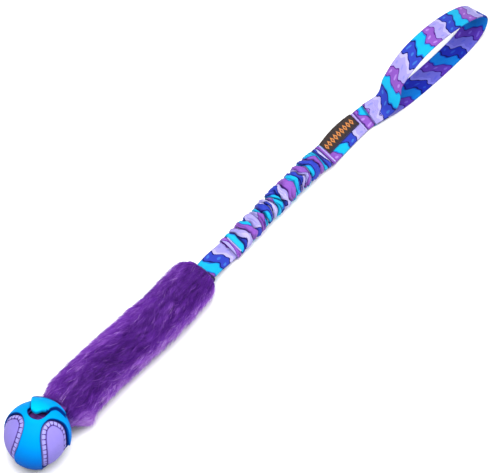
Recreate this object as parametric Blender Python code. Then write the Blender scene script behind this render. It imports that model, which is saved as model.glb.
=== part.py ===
"""Bungee tug toy: treat ball, faux-fur sleeve, gathered bungee and webbing handle.

The toy lies along X, ball at -X, hand loop at +X, on the plane z = 0.
Lengths below are millimetres counted from the ball's centre line; P() turns
them into metres in the part's own frame (origin under the middle of the box).
"""
import math
import bpy
import bmesh
from mathutils import Vector

for _o in list(bpy.data.objects):
    bpy.data.objects.remove(_o, do_unlink=True)

# ---------------------------------------------------------------- dimensions
MM = 0.001
SHIFT_X = -338.02       # ball centre to the middle of the bounding box
SHIFT_Y = -3.67

BALL_R = 33.0           # outside of the blue shell
SHELL_T = 3.0           # wall of the blue shell
CORE_R = 29.4           # outside of the lilac inner ball
CORE_T = 2.4
PAD_R = (31.2, 31.6, 31.2)      # the inner ball swells out through the windows
PAD_OFF = ((-0.9, 1.1, 0.9), (0.0, 0.0, 0.0), (0.0, 0.0, 0.0))
BALL_X, BALL_Y, BALL_Z = -0.6, 0.75, 33.0
LIP_R = 37.0            # outside of the raised tongue
LIP_OFF = (-1.3, 1.3, 0.6)              # its centre, so that it gets lower towards its tip
WINDOW_AZ = (-91.8, 147.0, 26.0)
WINDOW_TOP = (67.4, 67.7, 2.0)
WINDOW_BOTTOM = (-58.0, -56.0, -58.0)
WINDOW_HALF = ((37.4, 38.8), (39.8, 37.3), (34.0, 34.0))  # half width in degrees of azimuth, on the -/+ azimuth side
WINDOW_POWER = ((2.1, 3.0), (2.6, 2.2), (3.2, 3.2))       # how square the shoulder is on that side
WINDOW_RISE = (6.0, 6.0, 2.5)                             # and how straight its sides run up to it
WINDOW_FLARE = ((0.8, -14.0), (-8.0, -5.3), (0.0, 0.0))   # added low down, on that side
MOUTH = ((1.5, 10.8), (-2.6, 8.2), (-5.0, 4.0), (-5.4, -0.9), (-3.2, -5.6), (1.0, -7.8),
         (6.2, -8.0), (10.8, -7.4), (13.6, -5.6), (13.0, -1.0), (11.0, 4.5), (7.0, 9.2))
TONGUE = ((-0.3, 4.6), (-0.1, -0.4), (3.0, -2.4), (6.0, -3.4), (8.6, -5.6), (10.2, -8.0),
          (14.7, -7.6), (18.6, -7.8), (22.6, -8.4), (24.6, -11.0), (25.6, -14.6), (26.8, -17.8),
          (29.4, -14.2), (31.4, -7.5), (32.0, 0.0), (30.0, 9.5), (24.0, 17.0),
          (16.5, 19.0), (11.5, 15.8), (6.0, 11.6), (1.6, 7.8))
SLOT_Z = 42.0           # strap slot on the sleeve side of the ball
SLOT_HALF = (11.4, 2.6)

WEB_T = 1.6             # thickness of the webbings
STRAP_W = 20.0          # purple strap and core webbing
PRINT_W = 25.0          # printed webbing of the handle and label stretch
LOWER_W = 22.0          # printed webbing between sleeve and bungee
GAP = 0.3

SLEEVE_X0, SLEEVE_X1 = 48.0, 256.8
BACK_R = 18.6
BEND_X, BEND_Z = 282.0, 14.6          # where the lower webbing bends
SWING_X, SWING_Z = 41.0, 41.0         # where the ball strap bends
TUBE_X0, TUBE_X1 = 306.0, 464.0
TUBE_R = 11.3
CORD_R = 2.8
LABEL_X0, LABEL_X1 = 466.8, 519.2
HINGE_X, HINGE_Z = 530.0, 4.0         # where the handle folds up
ROLL = math.radians(26.0)             # the limp webbing lies rolled over by this much
ROLL_LIFT = 4.4                       # rise that keeps its lower edge on the floor

# plan of the toy's centre line (x, y)
PLAN = ((-40.0, -3.0), (0.0, 1.0), (47.0, 6.0), (99.0, 9.8), (149.0, 9.9), (196.0, 10.2),
        (251.0, 14.0), (287.0, 17.2), (313.0, 18.2), (391.0, 21.4), (461.0, 24.0),
        (498.0, 26.2), (525.5, 26.6), (546.0, 23.2), (572.0, 17.6), (597.0, 15.4),
        (630.0, 14.2), (669.0, 14.4), (702.0, 16.0), (730.0, 17.6))
# side view of the handle strap: out along the floor, round the tip, back over the arch
LOOP = ((534.5, 2.1), (547.0, 2.1), (558.0, 1.2), (572.0, 1.0), (600.0, 1.0), (628.0, 1.0), (656.0, 1.0),
        (680.0, 1.3), (694.0, 3.6), (704.0, 9.5), (708.0, 18.0), (705.5, 26.5),
        (697.0, 34.5), (679.0, 44.8), (659.0, 52.4), (626.0, 58.2), (597.0, 55.2),
        (579.0, 46.5), (567.0, 34.5), (559.0, 23.0), (554.0, 13.2), (550.4, 8.0), (546.0, 6.35),
        (540.0, 6.3), (534.5, 6.3))


# ------------------------------------------------------------------- helpers
def spline(points, value):
    """Smooth curve through points, read at the given x."""
    n = len(points)
    i = 0
    while i < n - 2 and value > points[i + 1][0]:
        i += 1
    def slope(k):
        a, b = points[max(k - 1, 0)], points[min(k + 1, n - 1)]
        return (b[1] - a[1]) / (b[0] - a[0])
    (x0, y0), (x1, y1) = points[i], points[i + 1]
    h = x1 - x0
    t = (value - x0) / h
    m0, m1 = slope(i) * h, slope(i + 1) * h
    return ((2 * t**3 - 3 * t**2 + 1) * y0 + (t**3 - 2 * t**2 + t) * m0
            + (-2 * t**3 + 3 * t**2) * y1 + (t**3 - t**2) * m1)


def plan_y(x):
    return spline(PLAN, x)


def heading(x):
    d = (plan_y(x + 1.0) - plan_y(x - 1.0)) / 2.0
    return Vector((1.0, d, 0.0)).normalized()


def ramp(a, b, x):
    t = min(max((x - a) / (b - a), 0.0), 1.0)
    return t * t * (3 - 2 * t)


def rolled(p):
    """The lie of the limp stretch: a point turned about the webbing's own centre line."""
    x, y, z = p.x / MM - SHIFT_X, p.y / MM - SHIFT_Y, p.z / MM
    angle = ROLL * ramp(256.0, 282.0, x) * (1 - ramp(549.5, 567.0, x))
    if angle == 0.0 and x < 567.0:
        return p
    lift = ROLL_LIFT * ramp(436.0, 470.0, x) * (1 - ramp(549.5, 573.0, x))
    mid_z = spline(((250, 16.6), (268, 15.9), (282, 14.4), (300, 11.5), (316, 11.2), (330, 12.2), (436, 12.2),
                    (452, 9.2), (464, 5.6), (471, 3.9), (515, 3.5), (534, 4.1), (600, 4.1)), min(x, 600.0))
    c, q = math.cos(angle), math.sin(angle)
    dy, dz = y - plan_y(x), z - mid_z
    return P(x, plan_y(x) + dy * c - dz * q - 0.48 * lift, mid_z + dy * q + dz * c + lift)


def P(x, y, z):
    return Vector(((x + SHIFT_X) * MM, (y + SHIFT_Y) * MM, z * MM))


def material(name, color, rough, metallic=0.0):
    m = bpy.data.materials.new(name)
    m.use_nodes = True
    b = m.node_tree.nodes["Principled BSDF"]
    b.inputs["Base Color"].default_value = (*color, 1.0)
    b.inputs["Roughness"].default_value = rough
    b.inputs["Metallic"].default_value = metallic
    return m


def new_object(name, verts, faces, mat=None, smooth=False):
    me = bpy.data.meshes.new(name)
    me.from_pydata([tuple(v) for v in verts], [], faces)
    bm = bmesh.new()
    bm.from_mesh(me)
    bmesh.ops.recalc_face_normals(bm, faces=bm.faces[:])
    bm.to_mesh(me)
    bm.free()
    ob = bpy.data.objects.new(name, me)
    bpy.context.scene.collection.objects.link(ob)
    if mat:
        me.materials.append(mat)
    if smooth:
        me.shade_smooth()
        me.set_sharp_from_angle(angle=math.radians(35))
    return ob


def guide(ob):
    ob.hide_render = True
    ob.display_type = 'WIRE'
    return ob


def boolean(ob, other, how):
    m = ob.modifiers.new(how.lower() + "_" + other.name, 'BOOLEAN')
    m.operation = how
    m.object = other
    m.solver = 'EXACT'
    return m


def loft(name, rings, mat=None, smooth=True, closed=False):
    """Skin through rings of points; flat n-gon caps unless the loft closes on itself."""
    k = len(rings[0])
    verts = [p for ring in rings for p in ring]
    faces = []
    n = len(rings)
    for i in range(n if closed else n - 1):
        a, b = i * k, ((i + 1) % n) * k
        for j in range(k):
            j2 = (j + 1) % k
            faces.append((a + j, a + j2, b + j2, b + j))
    if not closed:
        faces.append(tuple(range(k - 1, -1, -1)))
        faces.append(tuple((n - 1) * k + j for j in range(k)))
    return new_object(name, verts, faces, mat, smooth)


def tube(name, outer, inner, mat, smooth=True):
    """Open-ended tube: outer and inner rings paired at both ends."""
    k = len(outer[0])
    verts = [p for r in outer for p in r] + [p for r in inner for p in r]
    off = len(outer) * k
    faces = []
    for i in range(len(outer) - 1):
        for j in range(k):
            j2 = (j + 1) % k
            faces.append((i * k + j, i * k + j2, (i + 1) * k + j2, (i + 1) * k + j))
    for i in range(len(inner) - 1):
        for j in range(k):
            j2 = (j + 1) % k
            a, b = off + i * k, off + (i + 1) * k
            faces.append((a + j, b + j, b + j2, a + j2))
    for j in range(k):
        j2 = (j + 1) % k
        faces.append((j, off + j, off + j2, j2))
        a, b = (len(outer) - 1) * k, off + (len(inner) - 1) * k
        faces.append((a + j, a + j2, b + j2, b + j))
    return new_object(name, verts, faces, mat, smooth)


def oval(x, zc, a, b, power=1.0, k=24, floor=None):
    """Cross-section of half width a and half height b, square to the plan heading."""
    t = heading(x)
    s = Vector((-t.y, t.x, 0.0))
    ring = []
    for j in range(k):
        th = 2 * math.pi * j / k
        c, q = math.cos(th), math.sin(th)
        u = a * math.copysign(abs(c) ** power, c)
        w = b * math.copysign(abs(q) ** power, q)
        z = zc + w
        if floor is not None:
            z = max(z, floor)
        ring.append(P(x + s.x * u, plan_y(x) + s.y * u, z))
    return ring


def strap_section(x, z, slope, width, thick, u0=0.0):
    """Eight-sided webbing section square to a direction that climbs at slope."""
    t = heading(x)
    s = Vector((-t.y, t.x, 0.0))
    up = Vector((-t.x * math.sin(slope), -t.y * math.sin(slope), math.cos(slope)))
    c = 0.35 * thick
    h, w = thick / 2, width / 2
    prof = ((-w, -h + c), (-w + c, -h), (w - c, -h), (w, -h + c),
            (w, h - c), (w - c, h), (-w + c, h), (-w, h - c))
    return [P(x, plan_y(x), z) + (s * (u + u0) + up * v) * MM for u, v in prof]


def strap(name, path, width, mat, thick=WEB_T, step=5.0, u0=0.0):
    """Webbing swept along (x, z) points; the strap may double back on itself."""
    dense = dense_path(path, step)
    rings = []
    n = len(dense)
    for i, (x, z) in enumerate(dense):
        a, b = dense[max(i - 1, 0)], dense[min(i + 1, n - 1)]
        dx, dz = b[0] - a[0], b[1] - a[1]
        rings.append(strap_section(x, z, math.atan2(dz, dx), width, thick, u0))
    return loft(name, rings, mat)


def dense_path(points, step):
    """Centripetal-like Catmull-Rom through (x, z) points, resampled about every step."""
    out = []
    n = len(points)
    for i in range(n - 1):
        p0 = points[max(i - 1, 0)]
        p1, p2 = points[i], points[i + 1]
        p3 = points[min(i + 2, n - 1)]
        d = math.dist(p1, p2)
        m = max(1, int(math.ceil(d / step)))
        d01, d23 = max(math.dist(p0, p1), 1e-6), max(math.dist(p2, p3), 1e-6)
        for j in range(m):
            t = j / m
            q = []
            for c in range(2):
                m1 = (p2[c] - p1[c]) if i == 0 else d * ((p1[c] - p0[c]) / d01 + (p2[c] - p1[c]) / d) / 2
                m2 = (p2[c] - p1[c]) if i == n - 2 else d * ((p2[c] - p1[c]) / d + (p3[c] - p2[c]) / d23) / 2
                q.append((2 * t**3 - 3 * t**2 + 1) * p1[c] + (t**3 - 2 * t**2 + t) * m1
                         + (-2 * t**3 + 3 * t**2) * p2[c] + (t**3 - t**2) * m2)
            out.append(tuple(q))
    out.append(tuple(points[-1]))
    return out


def block(name, x, z, slope, lx, ly, lz, u0=0.0):
    """Square-cornered block aligned with the webbing at x."""
    t = heading(x)
    s = Vector((-t.y, t.x, 0.0))
    f = Vector((t.x * math.cos(slope), t.y * math.cos(slope), math.sin(slope)))
    up = Vector((-t.x * math.sin(slope), -t.y * math.sin(slope), math.cos(slope)))
    c = P(x, plan_y(x), z)
    v = []
    for sx in (-1, 1):
        for sy in (-1, 1):
            for sz in (-1, 1):
                v.append(c + (f * (sx * lx / 2) + s * (u0 + sy * ly / 2) + up * (sz * lz / 2)) * MM)
    faces = [(0, 1, 3, 2), (4, 6, 7, 5), (0, 4, 5, 1), (2, 3, 7, 6), (0, 2, 6, 4), (1, 5, 7, 3)]
    return new_object(name, v, faces)


THREAD = 0.8


def thread_loop(name, x, z, slope, half_w, half_h, length, mat, u0=0.0):
    """A bar tack as one closed loop of thread: a bar above, a bar below, two legs."""
    t = heading(x)
    s = Vector((-t.y, t.x, 0.0))
    f = Vector((t.x * math.cos(slope), t.y * math.cos(slope), math.sin(slope)))
    up = Vector((-t.x * math.sin(slope), -t.y * math.sin(slope), math.cos(slope)))
    c = P(x, plan_y(x), z)
    rings = []
    for cu, cv in ((-1, -1), (1, -1), (1, 1), (-1, 1)):
        ring = []
        for io, e in ((0, -1), (1, -1), (1, 1), (0, 1)):
            g = THREAD * io
            ring.append(c + (s * (u0 + cu * (half_w + g)) + up * (cv * (half_h + g))
                             + f * (e * length / 2)) * MM)
        rings.append(ring)
    return loft(name, rings, mat, smooth=False, closed=True)


def leg_holes(name, x, z, slope, half_w, length, height, u0=0.0):
    """Two holes, a little larger than the legs of a thread loop."""
    a = block(name + "_a", x, z, slope, length + 2 * GAP, THREAD + 2 * GAP, height, u0 - half_w - THREAD / 2)
    b = block(name + "_b", x, z, slope, length + 2 * GAP, THREAD + 2 * GAP, height, u0 + half_w + THREAD / 2)
    return guide(a), guide(b)


def cut(ob, *tools):
    for c in tools:
        boolean(ob, c, 'DIFFERENCE')


# -------------------------------------------------------------------- colours
BLUE = material("blue_rubber", (0.02, 0.42, 0.90), 0.35)
LILAC = material("lilac_rubber", (0.52, 0.46, 0.86), 0.50)
PURPLE_WEB = material("purple_webbing", (0.20, 0.06, 0.42), 0.75)
FUR = material("violet_pile", (0.16, 0.03, 0.36), 0.85)
KNIT = material("violet_knit", (0.22, 0.10, 0.38), 0.90)
PRINT = material("printed_fabric", (0.30, 0.32, 0.80), 0.60)
RUBBER = material("natural_rubber", (0.06, 0.06, 0.07), 0.70)
THREAD_LILAC = material("lilac_thread", (0.60, 0.52, 0.88), 0.60)
THREAD_NAVY = material("navy_thread", (0.05, 0.05, 0.30), 0.60)
THREAD_PURPLE = material("purple_thread", (0.24, 0.08, 0.46), 0.60)
LABEL = material("woven_label", (0.05, 0.025, 0.02), 0.65)

# ----------------------------------------------------------------------- ball
CENTRE = P(BALL_X, BALL_Y, BALL_Z)


def sphere(name, radius, seg, rings, mat=None):
    bm = bmesh.new()
    bmesh.ops.create_uvsphere(bm, u_segments=seg, v_segments=rings, radius=radius * MM)
    me = bpy.data.meshes.new(name)
    bm.to_mesh(me)
    bm.free()
    ob = bpy.data.objects.new(name, me)
    ob.location = CENTRE
    bpy.context.scene.collection.objects.link(ob)
    if mat:
        me.materials.append(mat)
        me.shade_smooth()
        me.set_sharp_from_angle(angle=math.radians(35))
    return ob


def cone_prism(name, directions, r0, r1):
    """Solid between two radii, over an outline given as directions from the ball centre."""
    n = len(directions)
    mid = Vector((0, 0, 0))
    for d in directions:
        mid += d
    mid.normalize()
    verts = [CENTRE + d * r0 * MM for d in directions] + [CENTRE + d * r1 * MM for d in directions]
    verts += [CENTRE + mid * r0 * MM, CENTRE + mid * r1 * MM]
    faces = []
    for i in range(n):
        j = (i + 1) % n
        faces.append((i, j, n + j, n + i))
        faces.append((2 * n, j, i))
        faces.append((2 * n + 1, n + i, n + j))
    return guide(new_object(name, verts, faces))


def direction(az, el):
    a, e = math.radians(az), math.radians(el)
    return Vector((math.cos(e) * math.cos(a), math.cos(e) * math.sin(a), math.sin(e)))


def window_outline(which, grow=0.0, n=11):
    """Petal between two meridians with round ends; n points up each side, half as many round each end."""
    az, top, bottom = WINDOW_AZ[which], WINDOW_TOP[which], WINDOW_BOTTOM[which]
    (p0, p1), rise = WINDOW_POWER[which], WINDOW_RISE[which]
    mid, half = (top + bottom) / 2, (top - bottom) / 2
    limit = 0.86
    ups = [limit * (2 * i / (n - 1) - 1) for i in range(n)]
    end = (1 - limit ** rise)
    right, left = end ** (1 / p1), end ** (1 / p0)
    m = n // 2 + 2
    across = [right - (right + left) * i / m for i in range(1, m)]
    def end_height(a):
        return (1 - abs(a) ** (p1 if a > 0 else p0)) ** (1 / rise)
    ring = [((1 - abs(u) ** rise) ** (1 / p1), u) for u in ups]
    ring += [(a, end_height(a)) for a in across]
    ring += [(-(1 - abs(u) ** rise) ** (1 / p0), u) for u in reversed(ups)]
    ring += [(a, -end_height(a)) for a in reversed(across)]
    out = []
    for a, u in ring:
        e = mid + (half + grow) * u
        side = 1 if a > 0 else 0
        low = ramp(30.0, -10.0, e)
        if which == 0 and side == 1:            # waisted: narrow at mid height, wide again underneath
            low = ramp(38.0, 2.0, e) * (1 - ramp(-6.0, -26.0, e))
        wide = WINDOW_HALF[which][side] + WINDOW_FLARE[which][side] * low
        out.append(direction(az + (wide + grow / math.cos(math.radians(e) * 0.7)) * a, e))
    return out


def plan_outline(points, radius):
    """Directions of points given in plan on a sphere of that radius, rounded by a spline."""
    n = len(points)
    out = []
    for i in range(n):
        p0, p1, p2, p3 = (points[(i + k) % n] for k in (-1, 0, 1, 2))
        for t in (0.0, 0.5):
            q = []
            for c in range(2):
                m1, m2 = (p2[c] - p0[c]) / 2, (p3[c] - p1[c]) / 2
                q.append((2 * t**3 - 3 * t**2 + 1) * p1[c] + (t**3 - 2 * t**2 + t) * m1
                         + (-2 * t**3 + 3 * t**2) * p2[c] + (t**3 - t**2) * m2)
            z = math.sqrt(max(radius**2 - q[0]**2 - q[1]**2, 1.0))
            out.append(Vector((q[0], q[1], z)).normalized())
    return out


mouth_cut_core = cone_prism("mouth_cut_core", plan_outline(MOUTH, BALL_R), 14.0, 33.0)
slot_cut = guide(block("slot_cut", 30.0, SLOT_Z, 0.0, 26.0, 2 * SLOT_HALF[0], 2 * SLOT_HALF[1]))

tongue_blank = guide(sphere("tongue_blank", LIP_R, 48, 24))
tongue_blank.location = CENTRE + Vector(LIP_OFF) * MM
tongue_under = guide(sphere("tongue_under", BALL_R - 0.5, 40, 20))
tongue_under.rotation_euler = (0.0, 0.0, math.radians(2.0))
tongue_outline = cone_prism("tongue_outline", plan_outline(TONGUE, LIP_R), 20.0, 48.0)
boolean(tongue_outline, tongue_blank, 'INTERSECT')
boolean(tongue_outline, tongue_under, 'DIFFERENCE')

ball_shell = sphere("ball_shell", BALL_R, 42, 21, BLUE)
shell_inside = guide(sphere("shell_inside", BALL_R - SHELL_T, 30, 15))
shell_inside.rotation_euler = (0.0, 0.0, math.radians(5.0))
boolean(ball_shell, shell_inside, 'DIFFERENCE')
for k in range(3):
    w = cone_prism("window_cut_%d" % (k + 1), window_outline(k), 16.0, 50.0)
    boolean(ball_shell, w, 'DIFFERENCE')
mouth_shell = cone_prism("mouth_shell", plan_outline(MOUTH, BALL_R), 14.0, 50.0)
boolean(ball_shell, mouth_shell, 'DIFFERENCE')
boolean(ball_shell, tongue_outline, 'UNION')
boolean(ball_shell, slot_cut, 'DIFFERENCE')

ball_core = sphere("ball_core", CORE_R, 32, 16, LILAC)
core_inside = guide(sphere("core_inside", CORE_R - CORE_T, 24, 12))
for k in range(3):
    pad_blank = guide(sphere("pad_blank_%d" % (k + 1), PAD_R[k], 36, 18))
    pad_blank.location = CENTRE + Vector(PAD_OFF[k]) * MM
    pad = cone_prism("pad_%d" % (k + 1), window_outline(k, -3.0, 9), 28.2, 48.0)
    boolean(pad, pad_blank, 'INTERSECT')
    boolean(ball_core, pad, 'UNION')
boolean(ball_core, core_inside, 'DIFFERENCE')
boolean(ball_core, mouth_cut_core, 'DIFFERENCE')
boolean(ball_core, slot_cut, 'DIFFERENCE')

# -------------------------------------------------- strap from ball to sleeve
STRAP_PATH = ((0.6, 54.0), (5.0, 54.4), (9.5, 53.9), (11.9, 52.1), (10.0, 50.2), (5.5, 49.6),
              (2.0, 48.6), (0.4, 46.5), (2.0, 44.4), (6.5, 43.0), (12.0, 42.4), (18.0, 42.1), (30.0, 42.0),
              (41.0, 41.0), (50.0, 37.6), (60.0, 33.6), (72.0, 30.3))
ball_strap = strap("ball_strap", STRAP_PATH, STRAP_W, PURPLE_WEB, step=3.0)
strap_stop_bartack = thread_loop("strap_stop_bartack", 5.5, 48.6, 0.0, 5.6, 7.1, 2.0, THREAD_PURPLE)
cut(ball_strap, *leg_holes("stop_hole", 5.5, 48.6, 0.0, 5.6, 2.0, 20.0))

# ------------------------------------------------------ webbing in the sleeve
CORE_PATH = ((52.0, 34.9), (60.0, 31.6), (72.0, 28.2), (90.0, 25.2), (130.0, 23.4), (180.0, 22.4),
             (225.0, 20.8), (245.0, 19.6), (256.0, 18.9))
core_webbing = strap("core_webbing", CORE_PATH, STRAP_W, PURPLE_WEB, step=9.0)

LOWER_PATH = ((230.0, 18.6), (245.0, 17.6), (256.0, 16.9), (268.0, 15.9), (282.0, 14.4),
              (294.0, 11.8), (303.0, 9.8), (309.0, 9.4), (316.0, 9.4))
lower_webbing = strap("lower_webbing", LOWER_PATH, LOWER_W, PRINT, step=6.0)


def path_slope(path, x):
    d = [(p, q) for p, q in zip(path, path[1:]) if p[0] <= x <= q[0]][0]
    return math.atan2(d[1][1] - d[0][1], d[1][0] - d[0][0])


def tack(name, x, z, slope, half_w, half_h, length, mat, through, u0=0.0, reach=14.0):
    ring = thread_loop(name, x, z, slope, half_w, half_h, length, mat, u0)
    holes = leg_holes(name + "_hole", x, z, slope, half_w, length, reach, u0)
    for ob in through:
        cut(ob, *holes)
    return ring


# ------------------------------------------------------------------ fur sleeve
def sleeve_zc(x):
    return spline(((44, 39.0), (52, 35.8), (60, 32.6), (72, 29.2), (90, 25.8), (130, 24.3), (200, 22.8),
                   (225, 20.9), (240, 19.2), (252, 18.2), (268, 17.2)), x)


def backing_ring(x, inset):
    f = min(max((x - 58.0) / 26.0, 0.0), 1.0) * min(max((248.0 - x) / 24.0, 0.0), 1.0)
    f = f * f * (3 - 2 * f)
    a = 14.6 + (BACK_R - 14.6) * f - inset
    b = 3.9 + (BACK_R - 3.9) * f + 0.9 * ramp(252.0, 261.0, x) - inset
    return oval(x, sleeve_zc(x), a, b, 0.55 + 0.45 * f, 20)


BACK_X = (51.5, 55.0, 58.0, 63.0, 69.0, 76.0, 84.0, 100.0, 130.0, 160.0, 190.0, 215.0, 224.0, 232.0, 240.0,
          245.0, 248.0, 251.0, 255.0, 259.0, 262.0)
fur_backing = tube("fur_backing", [backing_ring(x, 0.0) for x in BACK_X],
                   [backing_ring(x, 1.0) for x in BACK_X], KNIT)


def pile_outer(x):
    f0 = min(max((x - SLEEVE_X0) / 9.0, 0.0), 1.0)
    f1 = min(max((SLEEVE_X1 - x) / 7.0, 0.0), 1.0)
    f = math.sqrt(max(1 - (1 - f0) ** 2, 0.0)) * math.sqrt(max(1 - (1 - f1) ** 2, 0.0))
    a = spline(((40, 26.0), (80, 26.2), (150, 25.4), (220, 23.6), (270, 22.6)), x)
    top = spline(((40, 54.0), (70, 52.6), (110, 49.6), (150, 48.6), (220, 45.4), (270, 42.0)), x)
    b_full = top / 2 + 0.6
    zc_full = top - b_full
    a0, b0 = 17.0, 8.0
    a = a0 + (a - a0) * f
    b = b0 + (b_full - b0) * f
    zc = sleeve_zc(x) + (zc_full - sleeve_zc(x)) * f
    return oval(x, zc, a, b, 1.0, 24, floor=0.0)


def pile_inner(x):
    f = min(max((x - 58.0) / 26.0, 0.0), 1.0) * min(max((248.0 - x) / 24.0, 0.0), 1.0)
    f = f * f * (3 - 2 * f)
    a = 15.0 + (BACK_R - 14.6) * f
    b = 5.8 + (BACK_R + 0.4 - 5.8) * f
    return oval(x, sleeve_zc(x), a, b, 0.55 + 0.45 * f, 24)


PILE_X = (48.0, 49.2, 51.5, 54.5, 58.0, 64.0, 74.0, 90.0, 110.0, 135.0, 160.0, 185.0, 210.0, 232.0, 243.0,
          249.5, 253.0, 255.6, 256.8)
PILE_INNER_X = (48.0, 55.0, 58.0, 63.0, 69.0, 76.0, 84.0, 100.0, 130.0, 160.0, 190.0, 215.0, 224.0, 232.0,
                240.0, 244.0, 248.0, 251.0, 256.8)
fur_pile = tube("fur_pile", [pile_outer(x) for x in PILE_X], [pile_inner(x) for x in PILE_INNER_X], FUR)

tack("sleeve_stitch_ball_end", 55.5, sleeve_zc(55.5), 0.0, 6.5, 4.4, 1.8, THREAD_PURPLE,
     (fur_backing, ball_strap, core_webbing), reach=13.0)
tack("strap_splice_bartack", 66.0, 30.85, path_slope(CORE_PATH, 66.0), 6.5, 2.9, 2.4, THREAD_PURPLE,
     (ball_strap, core_webbing), reach=9.0)
tack("webbing_splice_bartack", 237.5, 19.1, path_slope(LOWER_PATH, 237.5), 6.5, 2.9, 2.4, THREAD_PURPLE,
     (core_webbing, lower_webbing), reach=9.0)
tack("sleeve_stitch_bungee_end", 250.5, sleeve_zc(250.5), 0.0, 6.5, 4.4, 1.8, THREAD_PURPLE,
     (fur_backing, core_webbing, lower_webbing), reach=13.0)

# ------------------------------------------------------------------- bungee
def tube_zc(x):
    return spline(((300, 11.9), (314, 12.0), (330, 12.2), (390, 12.3), (436, 12.2), (452, 9.6), (464, 7.4),
                   (471, 6.8)), x)


def flat_share(x):
    a = min(max((x - 318.0) / 14.0, 0.0), 1.0)
    b = min(max((453.0 - x) / 14.0, 0.0), 1.0)
    f = min(a, b)
    return f * f * (3 - 2 * f)


RUFFLES = 17
N_TUBE = 61


def tube_outer(i):
    x = TUBE_X0 + (TUBE_X1 - TUBE_X0) * i / (N_TUBE - 1)
    f = flat_share(x)
    phase = (x - 316.0) / (454.0 - 316.0) * RUFFLES
    a = 13.8 + (TUBE_R - 13.8) * f
    b = 5.8 + (TUBE_R - 5.8) * f
    t = heading(x)
    s = Vector((-t.y, t.x, 0.0))
    ring = []
    for j in range(16):
        th = 2 * math.pi * j / 16
        c, q = math.cos(th), math.sin(th)
        p = 0.5 + 0.5 * f
        lean = 0.35 * math.cos(th + 0.7 * math.sin(phase * 0.9)) * f
        swell = 1.0 + 0.055 * f * math.sin(2 * math.pi * (phase + lean))
        u = a * math.copysign(abs(c) ** p, c) * swell
        w = b * math.copysign(abs(q) ** p, q) * swell
        ring.append(P(x + s.x * u, plan_y(x) + s.y * u, max(tube_zc(x) + w, 0.0)))
    return ring


def tube_inner(x):
    f = flat_share(x)
    a = 12.9 + (8.2 - 12.9) * f
    b = 4.9 + (8.2 - 4.9) * f
    return oval(x, tube_zc(x), a, b, 0.5 + 0.5 * f, 16)


INNER_X = (306.0, 312.0, 318.0, 322.0, 326.0, 332.0, 350.0, 370.0, 390.0, 410.0, 430.0, 439.0, 445.0, 449.0,
           453.0, 459.0, 464.0)
bungee_tube = tube("bungee_tube", [tube_outer(i) for i in range(N_TUBE)],
                   [tube_inner(x) for x in INNER_X], PRINT)


def cord_ring(x):
    return oval(x, tube_zc(x) + 1.5, CORD_R, CORD_R, 1.0, 10)


bungee_cord = loft("bungee_cord", [cord_ring(309.0 + (461.0 - 309.0) * i / 16) for i in range(17)], RUBBER)

UPPER_PATH = ((455.0, tube_zc(455.0) - 2.5), (459.5, tube_zc(459.5) - 2.5), (464.0, tube_zc(464.0) - 2.5),
              (472.0, 3.7), (486.0, 3.5), (515.0, 3.5), (526.0, 3.6), (534.0, 4.1), (549.0, 4.2))
upper_webbing = strap("upper_webbing", UPPER_PATH, 24.0, PRINT, thick=2.0, step=6.0)

lower_bartack = tack("lower_bartack", 312.0, tube_zc(312.0), 0.0, 7.6, 6.2, 2.2, THREAD_LILAC,
     (bungee_tube, lower_webbing), reach=16.0)
upper_bartack = tack("upper_bartack", 459.0, tube_zc(459.0), math.atan2(-2.2, 12.0), 7.6, 6.2, 2.2, THREAD_LILAC,
     (bungee_tube, upper_webbing), reach=16.0)

# --------------------------------------------------------------------- label
def label_ring(x):
    """Folded label: a flap above, a flap below, closed round the webbing's edge."""
    t = heading(x)
    s = Vector((-t.y, t.x, 0.0))
    zc = spline(((464, tube_zc(464.0) - 2.5), (472, 3.7), (486, 3.5), (515, 3.5), (526, 3.6)), x)
    h1, h2 = 1.0 + GAP + 0.1, 1.0 + GAP + 0.1 + 0.6
    e1, e2 = 12.2, 12.9
    u0 = -1.4
    prof = ((u0, h1), (11.2, h1), (e1, h1 - 0.9), (e1, -h1 + 0.9), (11.2, -h1), (u0, -h1),
            (u0, -h2), (11.6, -h2), (e2, -h1 + 0.6), (e2, h1 - 0.6), (11.6, h2), (u0, h2))
    return [P(x + s.x * u, plan_y(x) + s.y * u, zc + v) for u, v in prof]


label = loft("label", [label_ring(LABEL_X0 + (LABEL_X1 - LABEL_X0) * i / 8) for i in range(9)], LABEL)


def comb(name, xs, z, half_h, u, mat):
    """A row of stitches: thread along the top, thread along the bottom, a leg at each end."""
    x0, x1 = xs
    n = 8
    rings = []
    stations = [x0 + (x1 - x0) * i / n for i in range(n + 1)]
    # the loop runs out along the top and back along the bottom
    path = [(x, 1) for x in stations] + [(x, -1) for x in reversed(stations)]
    m = len(path)
    for i, (x, sg) in enumerate(path):
        t = heading(x)
        s = Vector((-t.y, t.x, 0.0))
        c = P(x, plan_y(x), z)
        end = i in (0, n, n + 1, m - 1)
        outx = 0.0
        if end:
            outx = -1.0 if x == x0 else 1.0
        ring = []
        for io, e in ((0, -1), (1, -1), (1, 1), (0, 1)):
            g = THREAD * io
            ring.append(c + (t * (outx * g) + s * (u + e * 0.45) + Vector((0, 0, sg * (half_h + g)))) * MM)
        rings.append(ring)
    return loft(name, rings, mat, smooth=False, closed=True)


label_stitching = comb("label_stitching", (482.0, 511.0), 3.5, 2.3, 0.2, THREAD_NAVY)
for ob in (upper_webbing, label):
    for k, x in enumerate((482.0 - THREAD / 2, 511.0 + THREAD / 2)):
        cut(ob, guide(block("%s_stitch_hole_%d" % (ob.name, k), x, 3.5, 0.0, THREAD + 2 * GAP, 0.9 + 2 * GAP,
                            9.0, 0.2)))

hem_bartack = tack("hem_bartack", 521.2, 3.56, 0.0, 9.0, 1.4, 2.0, THREAD_LILAC, (upper_webbing,), reach=7.0)

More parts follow.
